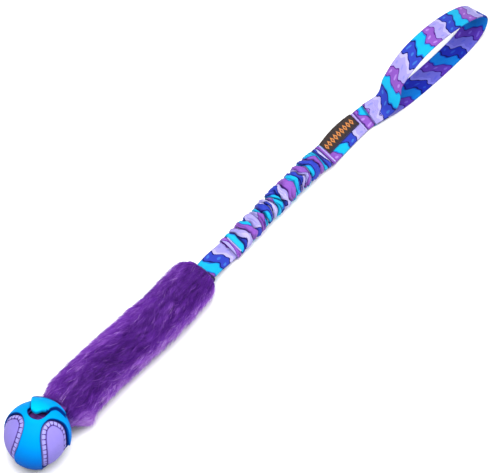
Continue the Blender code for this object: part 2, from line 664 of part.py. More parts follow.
# -------------------------------------------------------------------- handle
handle_webbing = strap("handle_webbing", LOOP, PRINT_W, PRINT, step=6.0)


def box_stitch_body(name, x0, x1, z, half_h, half_w, mat):
    """Box stitch: a square of thread on each face, joined by a leg at each corner."""
    w = 0.5
    parts = []
    def frame_point(x, u, zz):
        tt = heading(x)
        s = Vector((-tt.y, tt.x, 0.0))
        return P(x, plan_y(x), zz) + s * u * MM
    def ring_box(name2, xa, xb, ua, ub, za, zb):
        v = [frame_point(x, u, zz) for x in (xa, xb) for u in (ua, ub) for zz in (za, zb)]
        f = [(0, 1, 3, 2), (4, 6, 7, 5), (0, 4, 5, 1), (2, 3, 7, 6), (0, 2, 6, 4), (1, 5, 7, 3)]
        return new_object(name2, v, f)
    for sg in (1, -1):
        za, zb = (z + half_h, z + half_h + THREAD) if sg > 0 else (z - half_h - THREAD, z - half_h)
        for q, (xa, xb, ua, ub) in enumerate((
                (x0 - w, x1 + w, -half_w - w, -half_w + w), (x0 - w, x1 + w, half_w - w, half_w + w),
                (x0 - w, x0 + w, -half_w, half_w), (x1 - w, x1 + w, -half_w, half_w))):
            b = ring_box("%s_bar_%d_%d" % (name, sg + 1, q), xa, xb, ua, ub, za, zb)
            parts.append(b)
    for q, (xx, uu) in enumerate(((x0, -half_w), (x0, half_w), (x1, -half_w), (x1, half_w))):
        parts.append(ring_box("%s_leg_%d" % (name, q), xx - w * 0.8, xx + w * 0.8, uu - w * 0.8, uu + w * 0.8,
                              z - half_h - THREAD * 0.5, z + half_h + THREAD * 0.5))
    base = parts[0]
    base.name = name
    base.data.name = name
    base.data.materials.append(mat)
    for p in parts[1:]:
        guide(p)
        boolean(base, p, 'UNION')
    return base


box_stitch = box_stitch_body("box_stitch", 537.0, 545.5, 4.2, 3.3, 9.2, THREAD_LILAC)
for q, (xx, uu) in enumerate(((537.0, -9.2), (537.0, 9.2), (545.5, -9.2), (545.5, 9.2))):
    hole = guide(block("box_hole_%d" % q, xx, 4.2, 0.0, 1.6, 1.6, 12.0, uu))
    cut(handle_webbing, hole)
    cut(upper_webbing, hole)

# ------------------------------------------------------------ lie of the webbing
LIMP = (lower_webbing, lower_bartack, bungee_tube, bungee_cord, upper_bartack, upper_webbing, label,
        label_stitching, hem_bartack, handle_webbing, box_stitch)
bpy.context.view_layer.update()
for ob in LIMP:
    # the holes and joins are settled flat, then the whole stretch is rolled over
    if ob.modifiers:
        settled = bpy.data.meshes.new_from_object(ob.evaluated_get(bpy.context.evaluated_depsgraph_get()))
        ob.modifiers.clear()
        ob.data = settled
        settled.name = ob.name
for ob in LIMP:
    for v in ob.data.vertices:
        v.co = rolled(v.co)

# -------------------------------------------------- moving groups and their axes
def group(name, x, z, members):
    e = bpy.data.objects.new(name, None)
    e.empty_display_size = 0.02
    e.location = rolled(P(x, plan_y(x), z))
    bpy.context.scene.collection.objects.link(e)
    bpy.context.view_layer.update()
    for m in members:
        ob = bpy.data.objects[m]
        w = ob.matrix_world.copy()
        ob.parent = e
        ob.matrix_parent_inverse = e.matrix_world.inverted()
        ob.matrix_world = w
    return e


group("ball_swing_axis", SWING_X, SWING_Z, ("ball_shell", "ball_core", "ball_strap", "strap_stop_bartack"))
group("bungee_lift_axis", BEND_X, BEND_Z, ("lower_webbing", "bungee_tube", "bungee_cord", "lower_bartack"))
group("bungee_stretch_slide", 400.0, 12.0, ("upper_bartack", "upper_webbing", "label", "label_stitching",
                                            "hem_bartack"))
group("handle_lift_axis", HINGE_X, HINGE_Z, ("handle_webbing", "box_stitch"))
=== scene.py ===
"""Looks of the bungee tug toy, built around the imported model.

Lengths in the builders below are millimetres counted from the ball's centre line, as in
the construction; make_mesh() turns them into metres in the model's own frame.
"""
import math
import bpy
import numpy as np
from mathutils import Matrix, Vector


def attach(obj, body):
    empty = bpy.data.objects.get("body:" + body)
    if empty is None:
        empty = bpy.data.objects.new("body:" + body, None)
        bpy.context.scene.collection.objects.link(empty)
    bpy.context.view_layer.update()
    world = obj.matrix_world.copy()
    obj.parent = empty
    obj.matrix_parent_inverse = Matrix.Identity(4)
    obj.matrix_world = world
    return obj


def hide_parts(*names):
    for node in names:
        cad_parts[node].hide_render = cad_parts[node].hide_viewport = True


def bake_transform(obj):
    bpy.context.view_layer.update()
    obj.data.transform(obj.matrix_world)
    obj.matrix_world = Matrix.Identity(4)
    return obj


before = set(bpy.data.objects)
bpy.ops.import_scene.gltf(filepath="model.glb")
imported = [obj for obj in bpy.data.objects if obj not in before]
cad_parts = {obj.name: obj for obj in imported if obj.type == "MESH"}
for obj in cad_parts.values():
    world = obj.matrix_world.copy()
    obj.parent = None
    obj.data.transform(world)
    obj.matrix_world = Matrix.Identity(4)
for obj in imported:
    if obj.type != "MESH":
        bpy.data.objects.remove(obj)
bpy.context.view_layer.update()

scene = bpy.context.scene
scene.view_settings.view_transform = 'Standard'
scene.view_settings.look = 'None'

MM = 0.001
SHIFT = np.array((-338.02, -3.67, 0.0))

# --------------------------------------------------------------------- camera
cam_data = bpy.data.cameras.new("camera")
cam = bpy.data.objects.new("camera", cam_data)
scene.collection.objects.link(cam)
cam_data.sensor_width = 36.0
cam_data.lens = 310.44
cam_data.clip_start, cam_data.clip_end = 0.1, 50.0
cam.location = (-2.08553, -1.69810, 3.21739)
cam.rotation_euler = (math.radians(40.0), 0.0, math.radians(-50.5))
scene.camera = cam

# ------------------------------------------------------------ floor and light
floor_me = bpy.data.meshes.new("floor")
floor_me.from_pydata([(-6, -6, 0), (6, -6, 0), (6, 6, 0), (-6, 6, 0)], [], [(0, 1, 2, 3)])
floor = bpy.data.objects.new("floor", floor_me)
scene.collection.objects.link(floor)
floor.location = (0, 0, -0.0003)
fm = bpy.data.materials.new("pale_floor")
fm.use_nodes = True
fb = fm.node_tree.nodes["Principled BSDF"]
fb.inputs["Base Color"].default_value = (0.92, 0.92, 0.92, 1.0)
fb.inputs["Roughness"].default_value = 0.9
floor_me.materials.append(fm)

world = bpy.data.worlds.new("studio")
scene.world = world
world.use_nodes = True
world.node_tree.nodes["Background"].inputs["Color"].default_value = (1.0, 1.0, 1.0, 1.0)
world.node_tree.nodes["Background"].inputs["Strength"].default_value = 0.30


def area_light(name, place, aim, size, watts, color=(1, 1, 1)):
    data = bpy.data.lights.new(name, 'AREA')
    data.shape = 'DISK'
    data.size = size
    data.energy = watts
    data.color = color
    ob = bpy.data.objects.new(name, data)
    scene.collection.objects.link(ob)
    ob.location = place
    ob.rotation_mode = 'QUATERNION'
    ob.rotation_quaternion = (Vector(aim) - Vector(place)).to_track_quat('-Z', 'Y')
    return ob


area_light("key", (-0.95, -0.35, 1.85), (-0.05, 0.0, 0.0), 1.6, 46.0)
area_light("top", (0.15, 0.1, 2.3), (0.0, 0.0, 0.0), 2.2, 40.0)
area_light("side", (0.75, -1.05, 1.45), (0.0, 0.0, 0.0), 1.3, 17.0)


# -------------------------------------------------------------------- helpers
def spline_at(points, xs):
    """Smooth curve through points, read at every x (the same curve as the construction's)."""
    p = np.asarray(points, float)
    xs = np.asarray(xs, float)
    n = len(p)
    m = np.empty(n)
    for k in range(n):
        a, b = p[max(k - 1, 0)], p[min(k + 1, n - 1)]
        m[k] = (b[1] - a[1]) / (b[0] - a[0])
    i = np.clip(np.searchsorted(p[1:-1, 0], xs, side='left'), 0, n - 2)
    x0, y0, x1, y1 = p[i, 0], p[i, 1], p[i + 1, 0], p[i + 1, 1]
    h = x1 - x0
    t = (xs - x0) / h
    return ((2 * t**3 - 3 * t**2 + 1) * y0 + (t**3 - 2 * t**2 + t) * m[i] * h
            + (-2 * t**3 + 3 * t**2) * y1 + (t**3 - t**2) * m[i + 1] * h)


PLAN = ((-40.0, -3.0), (0.0, 1.0), (47.0, 6.0), (99.0, 9.8), (149.0, 9.9), (196.0, 10.2),
        (251.0, 14.0), (287.0, 17.2), (313.0, 18.2), (391.0, 21.4), (461.0, 24.0),
        (498.0, 26.2), (525.5, 26.6), (546.0, 23.2), (572.0, 17.6), (597.0, 15.4),
        (630.0, 14.2), (669.0, 14.4), (702.0, 16.0), (730.0, 17.6))


def plan_y(x):
    return spline_at(PLAN, x)


def heading(x):
    d = (plan_y(np.asarray(x, float) + 1.0) - plan_y(np.asarray(x, float) - 1.0)) / 2.0
    n = np.sqrt(1 + d * d)
    return 1 / n, d / n


def at(x, z, y=None):
    """Point of the toy's centre line, in metres, for blend() and the like."""
    yy = float(plan_y(x)) if y is None else y
    return ((x + SHIFT[0]) * MM, (yy + SHIFT[1]) * MM, z * MM)


def smoothstep(a, b, x):
    t = np.clip((x - a) / (b - a), 0.0, 1.0)
    return t * t * (3 - 2 * t)


def rolled(v):
    """The lie of the limp stretch: points turned about the webbing's own centre line."""
    x, y, z = v[:, 0], v[:, 1], v[:, 2]
    angle = math.radians(26.0) * smoothstep(256.0, 282.0, x) * (1 - smoothstep(549.5, 567.0, x))
    lift = 4.4 * smoothstep(436.0, 470.0, x) * (1 - smoothstep(549.5, 573.0, x))
    mid = spline_at(((250, 16.6), (268, 15.9), (282, 14.4), (300, 11.5), (316, 11.2), (330, 12.2), (436, 12.2),
                     (452, 9.2), (464, 5.6), (471, 3.9), (515, 3.5), (534, 4.1), (600, 4.1)), np.clip(x, 250.0, 600.0))
    py = plan_y(x)
    c, q = np.cos(angle), np.sin(angle)
    dy, dz = y - py, z - mid
    return np.stack([x, py + dy * c - dz * q - 0.48 * lift, mid + dy * q + dz * c + lift], 1)


def make_mesh(name, verts, faces, mat, smooth=True, attrs=None, limp=True):
    """verts in ball-centred millimetres; faces a list of index arrays, each (n, 3) or (n, 4),
    or single polygons of any length."""
    v = np.asarray(verts, float)
    v = ((rolled(v) if limp else v) + SHIFT) * MM
    loops, starts, total = [], [], 0
    for f in faces:
        f = np.asarray(f, np.int64)
        if f.ndim == 1:
            f = f[None, :]
        starts.append(total + np.arange(len(f)) * f.shape[1])
        loops.append(f.ravel())
        total += f.size
    loops, starts = np.concatenate(loops), np.concatenate(starts)
    me = bpy.data.meshes.new(name)
    me.vertices.add(len(v))
    me.vertices.foreach_set("co", v.astype(np.float32).ravel())
    me.loops.add(len(loops))
    me.loops.foreach_set("vertex_index", loops.astype(np.int32))
    me.polygons.add(len(starts))
    me.polygons.foreach_set("loop_start", starts.astype(np.int32))
    me.update(calc_edges=True)
    me.validate()
    if smooth:
        me.shade_smooth()
    for key, val in (attrs or {}).items():
        val = np.asarray(val, np.float32)
        a = me.attributes.new(key, 'FLOAT', 'POINT')
        a.data.foreach_set("value", val.ravel())
    ob = bpy.data.objects.new(name, me)
    scene.collection.objects.link(ob)
    if mat is not None:
        me.materials.append(mat)
    return ob


def grid_quads(n, k, off=0, wrap=True, flip=False):
    i = np.arange(n - 1)[:, None]
    j = np.arange(k if wrap else k - 1)[None, :]
    j2 = (j + 1) % k
    q = np.stack([i * k + j, (i + 1) * k + j, (i + 1) * k + j2, i * k + j2], -1).reshape(-1, 4) + off
    return q[:, ::-1] if flip else q


def tube_faces(n_out, n_in, k):
    """Closed wall: outer rings, inner rings, and a rim at each end."""
    off = n_out * k
    j = np.arange(k)
    j2 = (j + 1) % k
    rim0 = np.stack([j, j2, off + j2, off + j], -1)
    a, b = (n_out - 1) * k, off + (n_in - 1) * k
    rim1 = np.stack([a + j, b + j, b + j2, a + j2], -1)
    return [grid_quads(n_out, k), grid_quads(n_in, k, off, flip=True), rim0, rim1]


def dense_path(points, step):
    """Catmull-Rom through (x, z) points, resampled about every step (as in the construction)."""
    out = []
    n = len(points)
    for i in range(n - 1):
        p0, p1, p2, p3 = points[max(i - 1, 0)], points[i], points[i + 1], points[min(i + 2, n - 1)]
        d = math.dist(p1, p2)
        m = max(1, int(math.ceil(d / step)))
        d01, d23 = max(math.dist(p0, p1), 1e-6), max(math.dist(p2, p3), 1e-6)
        for j in range(m):
            t = j / m
            q = []
            for c in range(2):
                m1 = (p2[c] - p1[c]) if i == 0 else d * ((p1[c] - p0[c]) / d01 + (p2[c] - p1[c]) / d) / 2
                m2 = (p2[c] - p1[c]) if i == n - 2 else d * ((p2[c] - p1[c]) / d + (p3[c] - p2[c]) / d23) / 2
                q.append((2 * t**3 - 3 * t**2 + 1) * p1[c] + (t**3 - 2 * t**2 + t) * m1
                         + (-2 * t**3 + 3 * t**2) * p2[c] + (t**3 - t**2) * m2)
            out.append(tuple(q))
    out.append(tuple(points[-1]))
    return np.array(out)


def noise1(x, seed=0.0):
    """Smooth wandering value between about -1 and 1."""
    x = np.asarray(x, float)
    return (np.sin(x * 1.0 + seed * 1.7) + np.sin(x * 2.3 + seed * 3.1 + 1.3) * 0.6
            + np.sin(x * 4.1 + seed * 5.3 + 0.4) * 0.35) / 1.95


# ------------------------------------------------------------- node shorthand
class Nodes:
    """Small builder for shader graphs."""

    def __init__(self, name, rough=0.6, spec=0.5):
        self.mat = bpy.data.materials.new(name)
        self.mat.use_nodes = True
        self.nt = self.mat.node_tree
        self.bsdf = self.nt.nodes["Principled BSDF"]
        self.bsdf.inputs["Roughness"].default_value = rough
        self.bsdf.inputs["Specular IOR Level"].default_value = spec

    def put(self, sock, value):
        if isinstance(value, bpy.types.NodeSocket):
            self.nt.links.new(value, sock)
        elif hasattr(value, "__len__") and len(value) == 3 and sock.type == 'RGBA':
            sock.default_value = (*value, 1.0)
        else:
            sock.default_value = value

    def math(self, op, a, b=None, c=None, clamp=False):
        n = self.nt.nodes.new("ShaderNodeMath")
        n.operation = op
        n.use_clamp = clamp
        for s, v in zip(n.inputs, (a, b, c)):
            if v is not None:
                self.put(s, v)
        return n.outputs[0]

    def attr(self, name):
        n = self.nt.nodes.new("ShaderNodeAttribute")
        n.attribute_name = name
        return n.outputs["Fac"]

    def coords(self):
        return self.nt.nodes.new("ShaderNodeTexCoord").outputs["Object"]

    def axis(self, vector, k):
        n = self.nt.nodes.new("ShaderNodeSeparateXYZ")
        self.put(n.inputs[0], vector)
        return n.outputs[k]

    def vec(self, x, y, z=0.0):
        n = self.nt.nodes.new("ShaderNodeCombineXYZ")
        for s, v in zip(n.inputs, (x, y, z)):
            self.put(s, v)
        return n.outputs[0]

    def noise(self, vector, scale, detail=2.0, rough=0.5):
        n = self.nt.nodes.new("ShaderNodeTexNoise")
        self.put(n.inputs["Vector"], vector)
        n.inputs["Scale"].default_value = scale
        n.inputs["Detail"].default_value = detail
        n.inputs["Roughness"].default_value = rough
        return n.outputs["Fac"]

    def voronoi(self, vector, scale, feature='F1', out="Distance"):
        n = self.nt.nodes.new("ShaderNodeTexVoronoi")
        n.feature = feature
        self.put(n.inputs["Vector"], vector)
        n.inputs["Scale"].default_value = scale
        return n.outputs[out]

    def ramp(self, fac, stops, mode='LINEAR'):
        n = self.nt.nodes.new("ShaderNodeValToRGB")
        n.color_ramp.interpolation = mode
        e = n.color_ramp.elements
        while len(e) > 1:
            e.remove(e[-1])
        e[0].position, e[0].color = stops[0][0], (*stops[0][1], 1.0)
        for pos, col in stops[1:]:
            k = e.new(pos)
            k.color = (*col, 1.0)
        self.put(n.inputs["Fac"], fac)
        return n.outputs["Color"]

    def mix(self, fac, a, b, mode='MIX'):
        n = self.nt.nodes.new("ShaderNodeMix")
        n.data_type = 'RGBA'
        n.blend_type = mode
        self.put(n.inputs[0], fac)
        self.put(n.inputs[6], a)
        self.put(n.inputs[7], b)
        return n.outputs[2]

    def range(self, value, a, b, c=0.0, d=1.0):
        n = self.nt.nodes.new("ShaderNodeMapRange")
        self.put(n.inputs["Value"], value)
        for key, v in (("From Min", a), ("From Max", b), ("To Min", c), ("To Max", d)):
            self.put(n.inputs[key], v)
        return n.outputs["Result"]

    def bump(self, height, distance, strength=1.0, under=None):
        n = self.nt.nodes.new("ShaderNodeBump")
        n.inputs["Distance"].default_value = distance
        n.inputs["Strength"].default_value = strength
        self.put(n.inputs["Height"], height)
        if under is not None:
            self.put(n.inputs["Normal"], under)
        return n.outputs["Normal"]

    def finish(self, color=None, rough=None, normal=None):
        if color is not None:
            self.put(self.bsdf.inputs["Base Color"], color)
        if rough is not None:
            self.put(self.bsdf.inputs["Roughness"], rough)
        if normal is not None:
            self.put(self.bsdf.inputs["Normal"], normal)
        return self.mat


# ------------------------------------------------------------------ materials
def shell_rubber():
    """Satin blue rubber, with painted light and shade: lighter at the top, darker low down, and dark where moulded
    edges fall away.
    """
    m = Nodes("blue_rubber", 0.50, 0.03)
    m.bsdf.inputs["IOR"].default_value = 1.25
    co = m.coords()
    z = m.axis(co, 2)
    tone = m.math('ADD', z, m.math('MULTIPLY_ADD', m.noise(co, 30.0, 2.0), 0.006, -0.003))
    # painted light and shade: by height the blue runs from dark at the bottom to light at the top, as the light falls
    col = m.ramp(m.range(tone, 0.0, 0.072), ((0.0, (0.0, 0.018, 0.115)), (0.20, (0.0, 0.036, 0.20)), (0.45, (0.0, 0.120, 0.50)),
                                            (0.70, (0.0, 0.235, 0.66)), (0.90, (0.0, 0.255, 0.62)), (1.0, (0.0, 0.40, 0.66))))
    # painted shade from the shade attribute: window walls and rims, the mouth, and the step round the tongue
    col = m.mix(m.attr("shade"), col, (0.001, 0.018, 0.15))
    r = m.range(m.noise(co, 260.0, 4.0), 0.3, 0.7, 0.42, 0.54)
    return m.finish(col, r, m.bump(m.noise(co, 1400.0, 2.0), 0.00004))


def core_rubber():
    """Lilac rubber with a fine grain, paler outside the moulded seam, with painted shade: darker towards the bottom, in
    the seam's groove and next to the shell's edge.
    """
    m = Nodes("lilac_rubber", 0.55, 0.1)
    co = m.coords()
    cells = m.voronoi(co, 620.0, 'DISTANCE_TO_EDGE')
    fold = m.range(cells, 0.0, 0.12)
    broad = m.noise(co, 90.0, 4.0)
    z = m.axis(co, 2)
    low = m.range(z, 0.002, 0.045, 0.40, 1.0)
    col = m.ramp(m.attr("shade"), ((0.0, (0.040, 0.015, 0.16)), (0.5, (0.225, 0.185, 0.56)), (1.0, (0.29, 0.27, 0.65))))
    # random darker tone from broad noise, a little stronger in the grain's creases, where it is painted shade
    col = m.mix(m.range(m.math('MULTIPLY', broad, m.range(fold, 0, 1, 0.86, 1.0)), 0.25, 0.7, 0.35, 0.0), col,
                m.mix(1.0, col, (0.78, 0.72, 0.90), 'MULTIPLY'))
    # painted shade: darker towards the bottom
    col = m.mix(1.0, col, m.vec(low, low, m.range(z, 0.002, 0.045, 0.64, 1.0)), 'MULTIPLY')
    n = m.bump(fold, 0.00012, 0.6)
    n = m.bump(m.noise(co, 240.0, 3.0), 0.0003, 0.5, n)
    return m.finish(col, m.range(broad, 0.2, 0.8, 0.5, 0.62), n)


def rubber(name, low, high, rough=0.42, grain=0.00004):
    m = Nodes(name, rough, 0.25)
    co = m.coords()
    broad = m.noise(co, 38.0, 3.0)
    fine = m.noise(co, 1400.0, 2.0)
    col = m.ramp(broad, ((0.3, low), (0.7, high)))
    r = m.range(m.noise(co, 260.0, 4.0), 0.3, 0.7, rough - 0.05, rough + 0.07)
    return m.finish(col, r, m.bump(fine, grain))


def webbing(name, low, high, rough=0.7):
    """Plain dyed webbing: raised ribs along it, crossed by weft."""
    m = Nodes(name, rough, 0.35)
    u, v = m.attr("pu"), m.attr("pv")
    rib = m.math('SINE', m.math('MULTIPLY', v, 2 * math.pi / 1.25))
    weft = m.math('SINE', m.math('MULTIPLY_ADD', u, 2 * math.pi / 0.9, m.math('MULTIPLY', rib, 1.2)))
    h = m.math('MULTIPLY_ADD', rib, 0.5, m.math('MULTIPLY', weft, 0.5))
    co = m.coords()
    # painted shade: darker in the hollows between ribs and weft, with a random tone on top
    tone = m.math('MULTIPLY_ADD', h, 0.16, m.noise(co, 300.0, 3.0))
    return m.finish(m.ramp(tone, ((0.25, low), (0.75, high))), m.range(tone, 0.3, 0.7, rough - 0.08, rough + 0.1),
                    m.bump(h, 0.00018, 0.8))


CYAN = (0.003, 0.37, 0.60)
AZURE = (0.004, 0.155, 0.52)
ROYAL = (0.022, 0.042, 0.38)
NAVY = (0.003, 0.004, 0.10)
LILAC = (0.30, 0.265, 0.58)
PALE = (0.40, 0.365, 0.66)
VIOLET = (0.21, 0.070, 0.40)
DEEP = (0.070, 0.011, 0.19)


def printed(name, weave=True, rough=0.58, period=60.0, dots=True):
    """Printed cloth: slanting wavy bands, with rows of plain ovals in the darker bands.
    pu is the place along the print and pv the place across it, both in millimetres."""
    m = Nodes(name, rough, 0.12)
    u, v = m.attr("pu"), m.attr("pv")
    uv = m.vec(m.math('MULTIPLY', u, 0.001), m.math('MULTIPLY', v, 0.001))
    jag = m.math('MULTIPLY_ADD', m.noise(uv, 900.0, 1.0), 0.9, -0.45)
    phase = m.math('FRACT', m.math('DIVIDE', m.math('ADD', u, jag), period))
    bands = m.ramp(phase, ((0.0, PALE), (0.045, LILAC), (0.245, DEEP), (0.268, VIOLET), (0.455, DEEP),
                           (0.475, AZURE), (0.50, CYAN), (0.70, AZURE), (0.725, NAVY), (0.755, ROYAL),
                           (0.955, NAVY), (0.98, PALE)), 'CONSTANT')
    # a slow drift of tone inside the bands, as dye has
    drift = m.noise(uv, 75.0, 2.0)
    bands = m.mix(m.range(drift, 0.25, 0.75, 0.0, 0.35), bands, m.mix(1.0, bands, (0.72, 0.74, 0.92), 'MULTIPLY'))
    if dots:
        dv = m.math('DIVIDE', m.math('PINGPONG', m.math('ADD', v, 25.2), 4.2), 1.25)
        for centre, tint in ((0.362, (0.36, 0.20, 0.58)), (0.855, (0.035, 0.15, 0.50)), (0.15, (0.20, 0.20, 0.58))):
            du = m.math('DIVIDE', m.math('MULTIPLY', m.math('SUBTRACT', phase, centre), period), 2.3)
            dist = m.math('SQRT', m.math('ADD', m.math('MULTIPLY', du, du), m.math('MULTIPLY', dv, dv)))
            bands = m.mix(m.math('MULTIPLY', m.range(dist, 1.1, 0.9), 0.75), bands, tint)
    normal = None
    if weave:
        rib = m.math('SINE', m.math('MULTIPLY', m.math('ADD', u, m.math('MULTIPLY', v, 0.0)), 2 * math.pi / 0.95))
        warp = m.math('SINE', m.math('MULTIPLY_ADD', v, 2 * math.pi / 1.1, m.math('MULTIPLY', rib, 0.9)))
        h = m.math('MULTIPLY_ADD', rib, 0.4, m.math('MULTIPLY', warp, 0.6))
        # painted shade: darker in the weave's hollows
        bands = m.mix(m.range(h, -1.0, 0.2, 0.30, 0.0), bands, m.mix(1.0, bands, (0.5, 0.5, 0.6), 'MULTIPLY'))
        normal = m.bump(h, 0.00014, 0.7)
    else:
        a = m.math('SINE', m.math('MULTIPLY', u, 2 * math.pi / 0.55))
        b = m.math('SINE', m.math('MULTIPLY', v, 2 * math.pi / 0.55))
        h = m.math('MULTIPLY', a, b)
        normal = m.bump(m.noise(uv, 700.0, 3.0), 0.00025, 0.6, m.bump(h, 0.00006, 0.6))
    # painted shade from the shade attribute: the webbing's rounded edges, dark lines across it, and the gathered
    # cover's creases
    edge = m.attr("shade")
    bands = m.mix(edge, bands, m.mix(0.35, m.mix(1.0, bands, (0.10, 0.08, 0.22), 'MULTIPLY'), (0.012, 0.006, 0.075)))
    # painted shade on the hand loop's inner side, inside the loop
    bands = m.mix(m.attr("inner"), bands, m.mix(1.0, bands, (0.42, 0.46, 0.95), 'MULTIPLY'))
    return m.finish(bands, m.range(drift, 0.2, 0.8, rough - 0.1, rough + 0.1), normal)


def thread(name, low, high):
    m = Nodes(name, 0.6, 0.25)
    co = m.coords()
    return m.finish(m.ramp(m.noise(co, 1500.0, 2.0), ((0.3, low), (0.7, high))), None,
                    m.bump(m.noise(co, 3000.0, 2.0), 0.00008, 0.6))


def knit(name, low, high):
    m = Nodes(name, 0.85, 0.2)
    co = m.coords()
    loops = m.voronoi(co, 900.0)
    return m.finish(m.ramp(loops, ((0.1, high), (0.8, low))), None, m.bump(loops, 0.0002, 0.6))


M_SHELL = shell_rubber()
M_CORE = core_rubber()
M_SEAM = rubber("purple_seam_rubber", (0.035, 0.010, 0.12), (0.065, 0.022, 0.18), 0.55)
M_PURPLE = webbing("purple_webbing", (0.07, 0.012, 0.17), (0.15, 0.034, 0.30))
M_PRINT = printed("printed_webbing")
M_GATHER = printed("printed_gather", weave=False, rough=0.5, dots=False)
M_CORD = rubber("natural_rubber", (0.03, 0.03, 0.035), (0.05, 0.05, 0.06), 0.6)
M_THREAD_LILAC = thread("lilac_thread", (0.30, 0.26, 0.54), (0.42, 0.38, 0.66))
M_THREAD_NAVY = thread("navy_thread", (0.010, 0.012, 0.12), (0.03, 0.03, 0.22))
M_THREAD_PURPLE = thread("purple_thread", (0.13, 0.03, 0.28), (0.22, 0.06, 0.42))
M_KNIT = knit("violet_knit", (0.012, 0.006, 0.045), (0.035, 0.014, 0.10))


def label_material():
    m = Nodes("woven_label", 0.6, 0.35)
    u, v = m.attr("pu"), m.attr("pv")
    uv = m.vec(m.math('MULTIPLY', u, 0.001), m.math('MULTIPLY', v, 0.001))
    wave = m.math('MULTIPLY', m.math('SINE', m.math('MULTIPLY', u, 2 * math.pi / 0.55)),
                  m.math('SINE', m.math('MULTIPLY', v, 2 * math.pi / 0.45)))
    ground = m.ramp(m.noise(uv, 420.0, 3.0), ((0.3, (0.010, 0.006, 0.008)), (0.7, (0.034, 0.018, 0.014))))
    # a row of plain hollow diamonds
    du = m.math('ABSOLUTE', m.math('SUBTRACT', m.math('FLOORED_MODULO', m.math('SUBTRACT', u, 2.8), 5.2), 2.6))
    dv = m.math('ABSOLUTE', m.math('SUBTRACT', v, 6.2))
    diamond = m.math('ADD', m.math('DIVIDE', du, 2.3), m.math('DIVIDE', dv, 3.4))
    inner = m.math('ADD', m.math('DIVIDE', du, 0.9), m.math('DIVIDE', dv, 1.3))
    inside = m.math('MULTIPLY', m.range(diamond, 1.06, 0.94), m.range(inner, 0.9, 1.1))
    ends = m.math('MULTIPLY', m.range(u, 2.5, 2.8), m.range(u, 49.9, 49.6))
    mark = m.math('MULTIPLY', inside, ends)
    orange = m.ramp(m.noise(uv, 1300.0, 2.0), ((0.3, (0.40, 0.12, 0.02)), (0.7, (0.62, 0.24, 0.06))))
    return m.finish(m.mix(mark, ground, orange), None,
                    m.bump(m.math('MULTIPLY_ADD', mark, 1.5, wave), 0.00012, 0.7))


M_LABEL = label_material()


def fur_material(name):
    m = Nodes(name, 0.55, 0.1)
    t = m.attr("tint")
    tone = m.math('MULTIPLY_ADD', m.noise(m.coords(), 160.0, 2.0), 0.10, m.math('SUBTRACT', t, 0.05))
    col = m.ramp(tone, ((0.0, (0.020, 0.002, 0.065)), (0.30, (0.070, 0.008, 0.205)), (0.55, (0.155, 0.032, 0.40)),
                        (0.78, (0.33, 0.115, 0.60)), (1.0, (0.60, 0.34, 0.84))))
    m.bsdf.inputs["Sheen Weight"].default_value = 0.04
    m.bsdf.inputs["Sheen Roughness"].default_value = 0.4
    m.bsdf.inputs["Sheen Tint"].default_value = (0.75, 0.5, 1.0, 1.0)
    return m.finish(col)


M_FUR = fur_material("violet_pile")


# ----------------------------------------------------------------------- ball
BALL_R, CORE_R, LIP_R = 33.0, 29.4, 37.0
LIP_OFF = np.array((-1.3, 1.3, 0.6))
CENTRE = np.array((-0.6, 0.75, 33.0))
WINDOW_AZ = (-91.8, 147.0, 26.0)
WINDOW_TOP = (67.4, 67.7, 2.0)
WINDOW_BOTTOM = (-58.0, -56.0, -58.0)
WINDOW_HALF = ((37.4, 38.8), (39.8, 37.3), (34.0, 34.0))
WINDOW_POWER = ((2.1, 3.0), (2.6, 2.2), (3.2, 3.2))
WINDOW_RISE = (6.0, 6.0, 2.5)
WINDOW_FLARE = ((0.8, -14.0), (-8.0, -5.3), (0.0, 0.0))
PAD_R = (31.2, 31.6, 31.2)
PAD_OFF = ((-0.9, 1.1, 0.9), (0.0, 0.0, 0.0), (0.0, 0.0, 0.0))
MOUTH = ((1.5, 10.8), (-2.6, 8.2), (-5.0, 4.0), (-5.4, -0.9), (-3.2, -5.6), (1.0, -7.8),
         (6.2, -8.0), (10.8, -7.4), (13.6, -5.6), (13.0, -1.0), (11.0, 4.5), (7.0, 9.2))
TONGUE = ((-0.3, 4.6), (-0.1, -0.4), (3.0, -2.4), (6.0, -3.4), (8.6, -5.6), (10.2, -8.0),
          (14.7, -7.6), (18.6, -7.8), (22.6, -8.4), (24.6, -11.0), (25.6, -14.6), (26.8, -17.8),
          (29.4, -14.2), (31.4, -7.5), (32.0, 0.0), (30.0, 9.5), (24.0, 17.0),
          (16.5, 19.0), (11.5, 15.8), (6.0, 11.6), (1.6, 7.8))


def closed_spline(points, m):
    p = np.asarray(points, float)
    out = []
    n = len(p)
    for i in range(n):
        p0, p1, p2, p3 = p[i - 1], p[i], p[(i + 1) % n], p[(i + 2) % n]
        for j in range(m):
            t = j / m
            out.append((2 * t**3 - 3 * t**2 + 1) * p1 + (t**3 - 2 * t**2 + t) * (p2 - p0) / 2
                       + (-2 * t**3 + 3 * t**2) * p2 + (t**3 - t**2) * (p3 - p1) / 2)
    return np.array(out)


MOUTH_LINE = closed_spline(MOUTH, 3)
TONGUE_LINE = closed_spline(TONGUE, 3)


def polygon_distance(px, py, poly):
    """Signed distance to a closed outline, negative inside."""
    best = np.full(px.shape, 1e9)
    inside = np.zeros(px.shape, bool)
    n = len(poly)
    for i in range(n):
        ax, ay = poly[i]
        bx, by = poly[(i + 1) % n]
        ex, ey = bx - ax, by - ay
        wx, wy = px - ax, py - ay
        t = np.clip((wx * ex + wy * ey) / (ex * ex + ey * ey), 0, 1)
        best = np.minimum(best, (wx - ex * t) ** 2 + (wy - ey * t) ** 2)
        cross = ((ay > py) != (by > py)) & (px < (bx - ax) * (py - ay) / (by - ay + 1e-30) + ax)
        inside ^= cross
    return np.where(inside, -1.0, 1.0) * np.sqrt(best)


